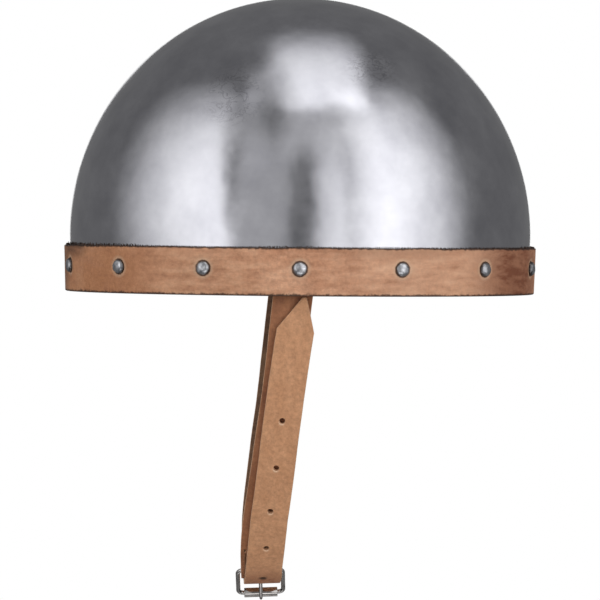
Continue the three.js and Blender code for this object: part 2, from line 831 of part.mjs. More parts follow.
// Buckle frame: a round wire bent to a closed rectangle
function makeBuckleFrame() {
  const halfWidth = buckleInsideWidth / 2 + wireRadius;
  const corners = [
    [halfWidth - buckleCorner, -buckleCorner, 0],
    [halfWidth - buckleCorner, buckleCorner - buckleLength, -1],
    [buckleCorner - halfWidth, buckleCorner - buckleLength, -2],
    [buckleCorner - halfWidth, -buckleCorner, -3],
  ];
  const rings = corners.flatMap(([middleX, middleZ, quarters]) =>
    Array.from({ length: cornerSteps + 1 }, (_, step) => {
      const turn = quarterTurn * (quarters + 1 - step / cornerSteps);
      const [outX, outZ] = [Math.cos(turn), Math.sin(turn)];
      return Array.from({ length: rodFacets }, (_unused, facet) => {
        const angle = (fullTurn * (facet + 1 / 2)) / rodFacets;
        const reach = buckleCorner + wireRadius * Math.cos(angle);
        return new THREE.Vector3(
          middleX + reach * outX,
          wireRadius * Math.sin(angle),
          middleZ + reach * outZ,
        );
      });
    }),
  );
  return piece("buckle_frame", loft(rings, true), finishes.buckle);
}

// Roller: a sleeve that turns on the front bar
function makeRoller() {
  const barHalf = buckleInsideWidth / 2 + wireRadius - buckleCorner;
  const half = barHalf - rollerEndGap;
  const bore = wireRadius + barGap;
  const profile = [
    [bore, -half],
    [rollerRadius, -half],
    [rollerRadius, half],
    [bore, half],
    [bore, -half],
  ];
  const geometry = turned(profile, rollerFacets).rotateY(quarterTurn);
  const roller = piece("buckle_roller", geometry, finishes.buckle);
  roller.position.z = -buckleLength;
  return roller;
}

// Prong: a flat pin from beside the roller to the back bar, and round it
function makeProng() {
  const stations = route(prongEnd, quarterTurn - prongRise, [
    { run: prongArm + prongOverhang },
    { radius: prongWrapRadius, turn: -prongWrap },
  ]);
  const geometry = strip(stations, prongThickness, prongChamfer, () => prongWidth / 2, () => 0);
  return piece("buckle_prong", geometry, finishes.buckle);
}

const buckle = new THREE.Group();
buckle.name = "buckle";
buckle.add(makeBuckleFrame(), makeRoller(), makeProng());
bucklePlace
  .clone()
  .setPosition(0, 0, 0)
  .premultiply(new THREE.Matrix4().makeRotationY(-hangTurn))
  .setPosition(hungPoint(0, backBar.y, backBar.z))
  .decompose(buckle.position, buckle.quaternion, buckle.scale);

const chinStrap = new THREE.Group();
chinStrap.name = "chin_strap";
chinStrap.position.set(-strapRivetForward, 0, rivetHeight);
chinStrap.rotation.y = strapSlant;
chinStrap.add(makeBuckleStrap(), makeHoledStrap(), buckle);

const helmet = new THREE.Group();
helmet.name = "skull_cap";
helmet.add(makeSkull(), makeRimBand(), makeLining(), makeLace(), ...makeRivets(), chinStrap);

export default helmet;
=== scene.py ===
"""Looks of a plain steel skull cap with a riveted leather band, a tongued lining and a chin strap.

Metres. Z is up, the rim plane is z = 0, the face looks to -X and the wearer's left is -Y.
Sizes are written in millimetres and turned to metres as each piece is built.
"""

import logging
import math
from collections.abc import Callable, Sequence
from dataclasses import dataclass
from enum import Enum
from typing import Any

import bmesh
import bpy
from bmesh.types import BMEdge, BMesh, BMFace, BMVert
from bpy.types import Material, Node, NodeSocket, NodeTree, Object
from mathutils import Matrix, Vector, noise

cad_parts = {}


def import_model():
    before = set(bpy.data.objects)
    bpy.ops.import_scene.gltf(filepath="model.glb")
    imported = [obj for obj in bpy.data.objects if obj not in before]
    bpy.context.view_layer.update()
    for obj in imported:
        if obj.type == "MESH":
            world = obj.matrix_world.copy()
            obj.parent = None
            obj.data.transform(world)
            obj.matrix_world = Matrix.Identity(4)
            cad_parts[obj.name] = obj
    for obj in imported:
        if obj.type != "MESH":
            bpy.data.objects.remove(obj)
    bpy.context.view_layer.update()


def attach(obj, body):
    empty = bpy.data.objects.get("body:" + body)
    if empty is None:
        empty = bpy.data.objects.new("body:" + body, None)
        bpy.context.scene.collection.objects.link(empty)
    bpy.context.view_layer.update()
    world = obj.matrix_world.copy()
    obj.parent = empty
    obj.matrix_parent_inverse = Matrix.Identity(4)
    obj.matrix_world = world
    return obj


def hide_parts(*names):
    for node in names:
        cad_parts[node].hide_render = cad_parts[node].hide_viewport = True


log = logging.getLogger("skull_cap")

MM = 0.001
FULL_TURN = 2 * math.pi
QUARTER_TURN = math.pi / 2

Pair = tuple[float, float]
Place = tuple[float, float, float]
Section = Sequence[Pair]


class Face(Enum):
    """Which face of a hide a leather surface is, in the order of a piece's material slots."""

    GRAIN = 0
    FLESH = 1
    CUT = 2


# Helpers


def linear(code: str) -> tuple[float, float, float, float]:
    """Turns an sRGB hex code to linear light.

    Args:
        code: Six hex digits after a hash sign.

    Returns:
        Red, green, blue and full opacity.
    """
    parts = [int(code[i : i + 2], 16) / 255 for i in (1, 3, 5)]
    levels = [c / 12.92 if c <= 0.04045 else ((c + 0.055) / 1.055) ** 2.4 for c in parts]
    return (levels[0], levels[1], levels[2], 1.0)


def add_node(
    tree: NodeTree,
    kind: str,
    settings: dict[str | int, Any] | None = None,
    links: dict[str | int, NodeSocket] | None = None,
) -> Node:
    """Adds one node with its settings and incoming links.

    Args:
        tree: The node tree that takes the node.
        kind: The node's Blender type name.
        settings: Values for the node's properties or for its inputs by name or number, or the
            "stops" of a colour ramp as pairs of place and colour, in order.
        links: Sockets that feed the node's inputs, by name or number.

    Returns:
        The new node.
    """
    node = tree.nodes.new(kind)
    for key, value in (settings or {}).items():
        if key == "stops":
            while len(node.color_ramp.elements) < len(value):
                node.color_ramp.elements.new(0.5)
            for element, (place, colour) in zip(node.color_ramp.elements, value):
                element.position = place
                element.color = colour
        elif isinstance(key, str) and hasattr(node, key):
            setattr(node, key, value)
        else:
            node.inputs[key].default_value = value
    for key, source in (links or {}).items():
        tree.links.new(source, node.inputs[key])
    return node


def new_material(name: str) -> tuple[Material, NodeTree]:
    """Makes an empty node material and returns it with its tree."""
    material = bpy.data.materials.new(name)
    material.use_nodes = True
    material.node_tree.nodes.clear()
    return material, material.node_tree


def grey(level: float) -> tuple[float, float, float, float]:
    """A grey of one level, as a colour."""
    return (level, level, level, 1.0)


def pattern(
    tree: NodeTree,
    sizes: Sequence[float],
    settings: dict[str | int, Any],
    shift: Place = (0, 0, 0),
    kind: str = "ShaderNodeTexNoise",
) -> NodeSocket:
    """Lays a texture over a piece at its real size, in Object coordinates.

    Args:
        tree: The node tree.
        sizes: How many millimetres one of its features takes along X, Y and Z.
        settings: The texture's own settings.
        shift: A shift of the texture, in its own features.
        kind: The texture's Blender type name.

    Returns:
        The texture's value.
    """
    place = add_node(tree, "ShaderNodeTexCoord").outputs["Object"]
    scale = tuple(1 / (size * MM) for size in sizes)
    laid = add_node(
        tree, "ShaderNodeMapping", {"Scale": scale, "Location": shift}, {"Vector": place}
    )
    texture = add_node(tree, kind, {"Scale": 1.0, **settings}, {"Vector": laid.outputs["Vector"]})
    return texture.outputs[0]


def spot_mask(tree: NodeTree, centre: Sequence[float], radii: Sequence[float]) -> NodeSocket:
    """A soft oval spot in Object coordinates, 1 in its middle and 0 outside.

    Args:
        tree: The node tree.
        centre: The spot's middle in millimetres.
        radii: Its reach along X, Y and Z in millimetres.

    Returns:
        The value socket.
    """
    place = add_node(tree, "ShaderNodeTexCoord").outputs["Object"]
    shifted = add_node(
        tree, "ShaderNodeVectorMath", {"operation": "SUBTRACT", 1: tuple(c * MM for c in centre)},
        {0: place},
    )
    shrunk = add_node(
        tree, "ShaderNodeVectorMath", {"operation": "DIVIDE", 1: tuple(r * MM for r in radii)},
        {0: shifted.outputs[0]},
    )
    reach = add_node(tree, "ShaderNodeVectorMath", {"operation": "LENGTH"}, {0: shrunk.outputs[0]})
    fade = add_node(
        tree, "ShaderNodeMapRange",
        {"interpolation_type": "SMOOTHSTEP", "From Min": 1.0, "From Max": 0.25},
        {"Value": reach.outputs["Value"]},
    )
    return fade.outputs["Result"]


def tinted(
    tree: NodeTree, colour: NodeSocket, tint: str, share: float, distance: NodeSocket, limits: Pair
) -> NodeSocket:
    """Lays a tint over a colour where a distance runs from one limit to the other.

    Args:
        tree: The node tree.
        colour: The colour under the tint.
        tint: The tint's hex code.
        share: How much of the tint shows at the second limit.
        distance: The distance that it follows, in metres.
        limits: Where it starts and where it is full, in millimetres.

    Returns:
        The colour socket.
    """
    start, full = limits
    fade = {"interpolation_type": "SMOOTHSTEP", "To Max": share}
    fade |= {"From Min": start * MM, "From Max": full * MM}
    over = add_node(tree, "ShaderNodeMapRange", fade, {"Value": distance}).outputs["Result"]
    return add_node(
        tree, "ShaderNodeMix", {"data_type": "RGBA", 7: linear(tint)}, {0: over, 6: colour}
    ).outputs[2]


def surfaced(
    tree: NodeTree,
    settings: dict[str | int, Any],
    colour: NodeSocket,
    roughness: tuple[NodeSocket, Pair],
    relief: Sequence[tuple[NodeSocket, float, float]],
) -> None:
    """Ends a material with its roughness, its relief, its shader and its output.

    Args:
        tree: The node tree.
        settings: The shader's own settings.
        colour: The surface's colour.
        roughness: The pattern that the roughness follows, with the roughness at its low and high.
        relief: Each layer of relief as its pattern, its strength and its depth in millimetres.
    """
    follows, (low, high) = roughness
    rough = add_node(
        tree, "ShaderNodeMapRange",
        {"From Min": 0.3, "From Max": 0.7, "To Min": low, "To Max": high}, {"Value": follows},
    ).outputs["Result"]
    links = {"Base Color": colour, "Roughness": rough}
    normal: dict[str | int, NodeSocket] = {}
    for height, strength, depth in relief:
        bump = add_node(
            tree, "ShaderNodeBump", {"Strength": strength, "Distance": depth * MM},
            {"Height": height, **normal},
        )
        normal = {"Normal": bump.outputs["Normal"]}
    shader = add_node(tree, "ShaderNodeBsdfPrincipled", settings, {**links, **normal})
    add_node(tree, "ShaderNodeOutputMaterial", links={"Surface": shader.outputs[0]})


def quarter(steps: int) -> list[float]:
    """Angles that divide a quarter turn evenly, from 0 on."""
    return [QUARTER_TURN * step / steps for step in range(steps + 1)]


def smooth_step(share: float) -> float:
    """Rises smoothly from 0 to 1 as the share does."""
    held = min(1.0, max(0.0, share))
    return held * held * (3 - 2 * held)


def eased(table: Section, place: float) -> float:
    """A value that runs smoothly from one of a table's places to the next."""
    held = min(table[-1][0], max(table[0][0], place))
    for (start, low), (end, high) in zip(table, table[1:]):
        if end >= held:
            return low + (high - low) * smooth_step((held - start) / (end - start))
    return table[-1][1]


def linked(name: str, bm: BMesh, finishes: Sequence[Material]) -> Object:
    """Turns a bmesh, which it frees, into an object of the scene with its materials."""
    mesh = bpy.data.meshes.new(name)
    bm.to_mesh(mesh)
    bm.free()
    for finish in finishes:
        mesh.materials.append(finish)
    piece = bpy.data.objects.new(name, mesh)
    bpy.context.scene.collection.objects.link(piece)
    return piece


def finished(
    name: str,
    bm: BMesh,
    finishes: Sequence[Material],
    body: str,
    replaced: Sequence[str] = (),
    crease: float = 40.0,
) -> Object:
    """Turns a bmesh into a piece that rides on a CAD body.

    Args:
        name: The piece's name.
        bm: Its mesh in metres, in the frame. It is freed.
        finishes: Its materials, by slot.
        body: The CAD body that it rides on.
        replaced: The CAD nodes that it stands for.
        crease: Edges that turn by more degrees than this stay sharp.

    Returns:
        The linked object.
    """
    for face in bm.faces:
        face.smooth = True
    piece = linked(name, bm, finishes)
    piece.data.set_sharp_from_angle(angle=math.radians(crease))
    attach(piece, body)
    if replaced:
        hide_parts(*replaced)
    log.info("%s: %d faces on %s", name, len(piece.data.polygons), body)
    return piece


def close_up(bm: BMesh, reach: float = 1e-6) -> None:
    """Merges doubled vertices and turns the faces outward."""
    bmesh.ops.remove_doubles(bm, verts=bm.verts[:], dist=reach)
    bmesh.ops.recalc_face_normals(bm, faces=bm.faces[:])


def edges_of(verts: Sequence[BMVert]) -> list[BMEdge]:
    """The edges that meet some vertices, each once and in a steady order."""
    return list(dict.fromkeys(edge for vert in verts for edge in vert.link_edges))


def faces_of(verts: Sequence[BMVert]) -> list[BMFace]:
    """The faces that meet some vertices, each once and in a steady order."""
    return list(dict.fromkeys(face for vert in verts for face in vert.link_faces))


def parted(geometry: Sequence[object]) -> tuple[list[BMVert], list[BMEdge]]:
    """The vertices and the edges among an operator's results."""
    verts = [item for item in geometry if isinstance(item, BMVert)]
    edges = [item for item in geometry if isinstance(item, BMEdge)]
    return verts, edges


def ease_rims(bm: BMesh, reach: float, steps: int, held: bool = False) -> None:
    """Rounds the edges of a sheet.

    Args:
        bm: The bmesh.
        reach: How far the rounding reaches from each edge.
        steps: Facets of the rounding.
        held: Whether roundings that meet are held back.
    """
    rims = [edge for edge in bm.edges if edge.is_manifold and edge.calc_face_angle() > 1.2]
    bmesh.ops.bevel(
        bm, geom=rims, affect="EDGES", offset=reach, offset_type="OFFSET", segments=steps,
        profile=0.5, material=-1, clamp_overlap=held,
    )


def turned(bm: BMesh, profile: Section, steps: int) -> list[BMVert]:
    """Spins a profile of radius and height about Z.

    Args:
        bm: The bmesh that takes the body.
        profile: Radius and height pairs in millimetres.
        steps: Facets round the body.

    Returns:
        The body's vertices.
    """
    before = set(bm.verts)
    points = [bm.verts.new((radius * MM, 0, height * MM)) for radius, height in profile]
    edges = [bm.edges.new(pair) for pair in zip(points, points[1:])]
    bmesh.ops.spin(
        bm, geom=[*points, *edges], cent=(0, 0, 0), axis=(0, 0, 1), angle=FULL_TURN, steps=steps,
        use_merge=True,
    )
    made = [vert for vert in bm.verts if vert not in before]
    bmesh.ops.remove_doubles(bm, verts=made, dist=1e-7)
    made = [vert for vert in bm.verts if vert not in before]
    bmesh.ops.recalc_face_normals(bm, faces=faces_of(made))
    return made


def sweep(bm: BMesh, frames: Sequence[Matrix], sides: int, endless: bool) -> list[BMVert]:
    """Carries a unit circle through a row of placements.

    Args:
        bm: The bmesh that takes the body.
        frames: Placements whose X and Y axes hold the section's size and whose Z points on.
        sides: Facets round the section.
        endless: Whether the last placement joins back to the first.

    Returns:
        The body's vertices.
    """
    ring = bmesh.ops.create_circle(bm, cap_ends=not endless, segments=sides, radius=1)["verts"]
    made = list(ring)
    edges = first_edges = edges_of(ring)
    bmesh.ops.transform(bm, matrix=frames[0], verts=ring)
    for previous, following in zip(frames, frames[1:]):
        ring, edges = parted(bmesh.ops.extrude_edge_only(bm, edges=edges)["geom"])
        bmesh.ops.transform(bm, matrix=following @ previous.inverted(), verts=ring)
        made += ring
    if endless:
        bmesh.ops.bridge_loops(bm, edges=[*first_edges, *edges])
    else:
        bmesh.ops.contextual_create(bm, geom=edges)
    bmesh.ops.recalc_face_normals(bm, faces=faces_of(made))
    return made


def frames_along(
    points: Sequence[Vector], sizes: Sequence[Pair], side: Vector, endless: bool
) -> list[Matrix]:
    """Placements along a path for a swept section.

    Args:
        points: The path in metres.
        sizes: The section's half width and half thickness at each point, in metres.
        side: A direction that the section's X axis keeps near to.
        endless: Whether the path joins back to its start.

    Returns:
        One placement for each point.
    """
    frames = []
    count = len(points)
    for index, (point, (half_width, half_depth)) in enumerate(zip(points, sizes)):
        ahead = points[(index + 1) % count] if endless else points[min(index + 1, count - 1)]
        behind = points[index - 1] if endless or index else points[0]
        along = (ahead - behind).normalized()
        across = (side - along * side.dot(along)).normalized()
        up = along.cross(across)
        side = across
        basis = Matrix((across * half_width, up * half_depth, along)).transposed().to_4x4()
        frames.append(Matrix.Translation(point) @ basis)
    return frames


# Finishes


@dataclass(frozen=True)
class PolishedSteel:
    """Mild steel sheet, raised over a form and satin polished: soft, slightly blotched mirror."""

    name: str = "satin_polished_steel"
    bright: str = "#D0D0D6"
    dull: str = "#B9B9C0"
    smudge: str = "#77767D"
    roughness: Pair = (0.12, 0.21)
    blotch_size: float = 24.0
    hollow_size: float = 28.0
    brush_run: float = 30.0
    brush_pitch: float = 0.9
    scratch_size: Place = (8.0, 8.0, 5.0)
    scratched: tuple[tuple[Place, Place], ...] = (
        ((-33, -75, 96), (20, 28, 22)), ((33, -64, 109), (17, 28, 15))
    )

    def material(self) -> Material:
        """Builds the steel: metal with blotches, fine polishing lines and smudges by the highlights."""
        material, tree = new_material(self.name)
        blotches = pattern(tree, [self.blotch_size] * 3, {"Detail": 5.0, "Roughness": 0.6})
        # Polishing lines run round the bowl, so their pattern is squeezed along Z
        lines = pattern(tree, (self.brush_run, self.brush_run, self.brush_pitch), {"Detail": 3.0})
        # Hammer work under the polish leaves the sheet a little uneven, in shallow hollows
        hollows = pattern(
            tree, [self.hollow_size] * 3, {"Detail": 2.0, "Roughness": 0.45}, (3.1, 0.4, 7.7)
        )
        colour = add_node(
            tree, "ShaderNodeValToRGB",
            {"stops": [(0.3, linear(self.dull)), (0.7, linear(self.bright))]}, {"Fac": blotches},
        ).outputs["Color"]
        # Fine dark scratches left from polishing, at two places beside the upper highlight
        veins = pattern(
            tree, self.scratch_size, {"Detail": 5.0, "Roughness": 0.6, "Distortion": 0.9},
            (0.7, 5.2, 1.9),
        )
        streaks = add_node(
            tree, "ShaderNodeValToRGB",
            {"stops": [(0.47, grey(0)), (0.5, grey(1)), (0.535, grey(0.1))]}, {"Fac": veins},
        ).outputs["Color"]
        left, right = (spot_mask(tree, middle, reach) for middle, reach in self.scratched)
        spots = add_node(
            tree, "ShaderNodeMath", {"operation": "MAXIMUM"}, {0: left, 1: right}
        ).outputs[0]
        smudged = add_node(
            tree, "ShaderNodeMath", {"operation": "MULTIPLY"}, {0: streaks, 1: spots}
        ).outputs[0]
        strength = add_node(
            tree, "ShaderNodeMath", {"operation": "MULTIPLY", 1: 0.5}, {0: smudged}
        ).outputs[0]
        colour = add_node(
            tree, "ShaderNodeMix", {"data_type": "RGBA", 7: linear(self.smudge)},
            {0: strength, 6: colour},
        ).outputs[2]
        relief = [(hollows, 0.5, 0.9), (lines, 0.1, 0.05)]
        surfaced(tree, {"Metallic": 1.0}, colour, (blotches, self.roughness), relief)
        return material


@dataclass(frozen=True)
class WorkedSteel:
    """Small steel goods: peened rivets, rolled sleeves and bent wire, bright with dull hollows.

    The seat is the radius of a rivet's head, round which its rim is darkened with painted shade, or 0 for
    the rest.
    """

    name: str
    bright: str
    dull: str
    roughness: Pair
    mark_size: float
    mark_depth: float
    seat: float = 0.0

    def material(self) -> Material:
        """Builds a metal whose small marks break up its reflections, and that is darkened by its seat
        with painted shade.
        """
        material, tree = new_material(self.name)
        marks = pattern(tree, [self.mark_size] * 3, {"Detail": 4.0, "Roughness": 0.6})
        colour = add_node(
            tree, "ShaderNodeValToRGB",
            {"stops": [(0.35, linear(self.dull)), (0.6, linear(self.bright))]}, {"Fac": marks},
        ).outputs["Color"]
        if self.seat:
            # Painted shade: the rim of each head is darkened where it turns down to meet the leather
            radius = add_node(
                tree, "ShaderNodeAttribute", {"attribute_name": "from_axis"}
            ).outputs["Fac"]
            limits = (self.seat - 1.0, self.seat - 0.1)
            colour = tinted(tree, colour, "#2E2622", 0.78, radius, limits)
        relief = [(marks, 0.6, self.mark_depth)]
        surfaced(tree, {"Metallic": 1.0}, colour, (marks, self.roughness[::-1]), relief)
        return material


@dataclass(frozen=True)
class ColourPatch:
    """A patch of another colour on a leather, by its middle and reach in millimetres: a stain, painted
    shade or a painted highlight.
    """

    centre: Place
    reach: Place
    colour: str
    strength: float


@dataclass(frozen=True)
class TannedLeather:
    """Vegetable-tanned cowhide: matt, with a fine creased grain, blotches and faint flesh streaks."""

    name: str
    pale: str
    mid: str
    deep: str
    roughness: Pair = (0.55, 0.72)
    grain_pitch: float = 0.9
    streak: Place = (14.0, 14.0, 4.0)
    blotch_size: float = 26.0
    relief: float = 0.16
    riveted: bool = False
    patches: tuple[ColourPatch, ...] = ()

    def _patched(self, tree: NodeTree, colour: NodeSocket, streaks: NodeSocket) -> NodeSocket:
        """Lays the colour patches over the leather, stains and painted light alike, each made ragged by
        its streaks.

        Args:
            tree: The node tree.
            colour: The clean leather's colour.
            streaks: The pattern of its streaks.

        Returns:
            The colour socket.
        """
        for patch in self.patches:
            spot = spot_mask(tree, patch.centre, patch.reach)
            ragged = add_node(
                tree, "ShaderNodeMapRange", {"From Min": 0.3, "From Max": 0.6, "To Min": 0.35},
                {"Value": streaks},
            ).outputs["Result"]
            ragged_patch = add_node(
                tree, "ShaderNodeMath", {"operation": "MULTIPLY"}, {0: spot, 1: ragged}
            ).outputs[0]
            held = add_node(
                tree, "ShaderNodeMath", {"operation": "MULTIPLY", 1: patch.strength}, {0: ragged_patch}
            ).outputs[0]
            colour = add_node(
                tree, "ShaderNodeMix", {"data_type": "RGBA", 7: linear(patch.colour)},
                {0: held, 6: colour},
            ).outputs[2]
        return colour

    @staticmethod
    def _rivet_rings_and_edges(tree: NodeTree, colour: NodeSocket, fibre: NodeSocket) -> NodeSocket:
        """Rings the band's rivets, the dark ring being painted shade, and darkens the face by its raw
        edges.

        Args:
            tree: The node tree.
            colour: The colour so far.
            fibre: The pattern of its fibres.

        Returns:
            The colour socket.
        """
        away = add_node(
            tree, "ShaderNodeAttribute", {"attribute_name": "from_rivet"}
        ).outputs["Fac"]
        # A paler ring round each head, and a dark ring of painted shade under its edge
        colour = tinted(tree, colour, "#D9B799", 0.45, away, (6.0, 4.0))
        colour = tinted(tree, colour, "#3A2419", 0.9, away, (4.3, 3.7))
        # The face darkens by half a millimetre or so towards its raw edges
        edge = add_node(tree, "ShaderNodeAttribute", {"attribute_name": "from_edge"}).outputs["Fac"]
        ragged_edge_distance = add_node(
            tree, "ShaderNodeMath", {"operation": "MULTIPLY_ADD", 1: 1.7 * MM}, {0: fibre, 2: edge}
        ).outputs[0]
        return tinted(tree, colour, "#2B1C15", 0.9, ragged_edge_distance, (1.75, 1.15))

    def material(self) -> Material:
        """Builds the leather with its colour patches, and on the band the rings of its rivets, the dark
        one painted shade, and its darker edges.
        """
        material, tree = new_material(self.name)
        blotches = pattern(
            tree, [self.blotch_size] * 3, {"Detail": 4.0, "Roughness": 0.55}, (2.3, 1.1, 4.6)
        )
        streaks = pattern(tree, self.streak, {"Detail": 6.0, "Roughness": 0.62})
        grain = pattern(
            tree, [self.grain_pitch] * 3, {"feature": "F1"}, kind="ShaderNodeTexVoronoi"
        )
        fibre = pattern(tree, [self.grain_pitch * 2.2] * 3, {"Detail": 4.0, "Roughness": 0.7})
        shades = [linear(shade) for shade in (self.deep, self.mid, self.pale)]
        ramps = (
            (blotches, (0.28, 0.5, 0.72), shades), (streaks, (0.3, 0.52, 0.7), shades),
            (fibre, (0.3, 0.7), [grey(0.76), grey(1.15)]),
        )
        blotched, streaked, speckled = (
            add_node(
                tree, "ShaderNodeValToRGB", {"stops": list(zip(places, colours))}, {"Fac": source}
            ).outputs["Color"]
            for source, places, colours in ramps
        )
        colour = add_node(
            tree, "ShaderNodeMix", {"data_type": "RGBA", 0: 0.58}, {6: blotched, 7: streaked}
        ).outputs[2]
        colour = add_node(
            tree, "ShaderNodeMix", {"data_type": "RGBA", "blend_type": "MULTIPLY", 0: 1.0},
            {6: colour, 7: speckled},
        ).outputs[2]
        colour = self._patched(tree, colour, streaks)
        if self.riveted:
            colour = self._rivet_rings_and_edges(tree, colour, fibre)
        relief = [(grain, 0.35, self.relief), (fibre, 0.45, 1.4 * self.relief)]
        settings = {"IOR": 1.45, "Specular IOR Level": 0.35}
        surfaced(tree, settings, colour, (streaks, self.roughness), relief)
        return material


# The band's colour patches: stains, with painted shade at both ends where the band turns away from the
# light
BAND_STAINS_AND_SHADE = (
    ColourPatch((-114, -50, 12), (85, 80, 60), "#9C5F2A", 0.55),
    ColourPatch((-45, -90, 8), (45, 40, 34), "#DDB08B", 0.22),
    ColourPatch((70, -80, 12), (85, 60, 60), "#D0A486", 0.55),
    # Partly painted shade where the band turns away from the light at its right end, partly the leather's
    # own darker tone
    ColourPatch((103, -42, 14), (37, 52, 45), "#6A3820", 0.95),
    ColourPatch((45, -90, 24), (60, 40, 9), "#8A644A", 0.5),
    ColourPatch((-110, -28, 25), (13, 30, 11), "#231815", 1.0),
    # Painted shade down the left end, where the band turns away from the light
    ColourPatch((-117, -6, 14), (6, 26, 30), "#5E4433", 0.75),
)


class Finishes:
    """Every finish of the cap, made once."""

    def __init__(self) -> None:
        """Builds the materials from their finishes."""
        self.steel = PolishedSteel().material()
        self.band = TannedLeather(
            "tan_band_leather_grain", "#D6A98A", "#BB8868", "#905C3E", riveted=True,
            patches=BAND_STAINS_AND_SHADE,
        ).material()
        self.band_cut = TannedLeather(
            "band_leather_cut_edge", "#4A3428", "#33231C", "#1E1512", grain_pitch=0.5
        ).material()
        self.flesh = TannedLeather(
            "leather_flesh_side", "#B58E6C", "#94694A", "#7A5238", roughness=(0.8, 0.92),
            grain_pitch=0.7, relief=0.3,
        ).material()
        # Painted shade: the buckle strap's grain is a darker, redder copy of the strap leather, as it
        # lies in shade beside the holed strap
        self.inner_strap = TannedLeather(
            "strap_leather_grain_painted_shade", "#A97453", "#93603F", "#7B4A31",
            streak=(4.0, 4.0, 18.0), relief=0.1,
        ).material()
        # The straps' cut edges are paler partly as raw leather is and partly as a painted highlight along
        # lit edges and hole rims
        self.strap_cut = self.strap_edge("strap_leather_cut_edge")
        # Painted shade: the straps' flesh side is darker than such leather, as the far strap shows it in
        # shade
        self.strap_flesh_painted_shade = TannedLeather(
            "strap_leather_flesh_side_painted_shade", "#86674E", "#6B503D", "#523C2E", roughness=(0.8, 0.92),
            grain_pitch=0.7, relief=0.25,
        ).material()
        self.lining = TannedLeather(
            "soft_lining_leather", "#AD805B", "#966A48", "#7C5437", roughness=(0.78, 0.9),
            relief=0.2,
        ).material()
        self.lace = TannedLeather(
            "dark_lace_leather", "#6B452D", "#563622", "#402717", grain_pitch=0.6,
            streak=(2.0, 2.0, 2.0),
        ).material()
        self.thread = TannedLeather(
            "waxed_linen_thread", "#8A6A4C", "#6E5039", "#4A3425", grain_pitch=0.3,
            streak=(1.0, 1.0, 1.0), relief=0.05,
        ).material()
        self.rivet = WorkedSteel(
            "peened_rivet_steel", "#CDCED2", "#8F9095", (0.26, 0.38), 2.6, 0.035, 3.6
        ).material()
        self.buckle = WorkedSteel(
            "nickel_plated_wire", "#CBC7C4", "#A5A09D", (0.1, 0.18), 5.0, 0.01
        ).material()

    @staticmethod
    def marked_strap(patches: tuple[ColourPatch, ...]) -> Material:
        """The holed strap's grain side, smooth and pale, with painted shade and painted highlights where
        they are given.
        """
        return TannedLeather(
            "tan_strap_leather_grain", "#C99771", "#BC8A65", "#AC7A55", streak=(5.0, 5.0, 16.0),
            relief=0.1, patches=patches,
        ).material()

    @staticmethod
    def strap_edge(name: str, patches: tuple[ColourPatch, ...] = ()) -> Material:
        """The raw cut edge of a strap: paler than its face, partly as raw leather is and partly as a
        painted highlight, with painted shade where it is given.
        """
        return TannedLeather(
            name, "#D6B08E", "#BE9474", "#8A6448", grain_pitch=0.5, patches=patches
        ).material()


# Steel bowl


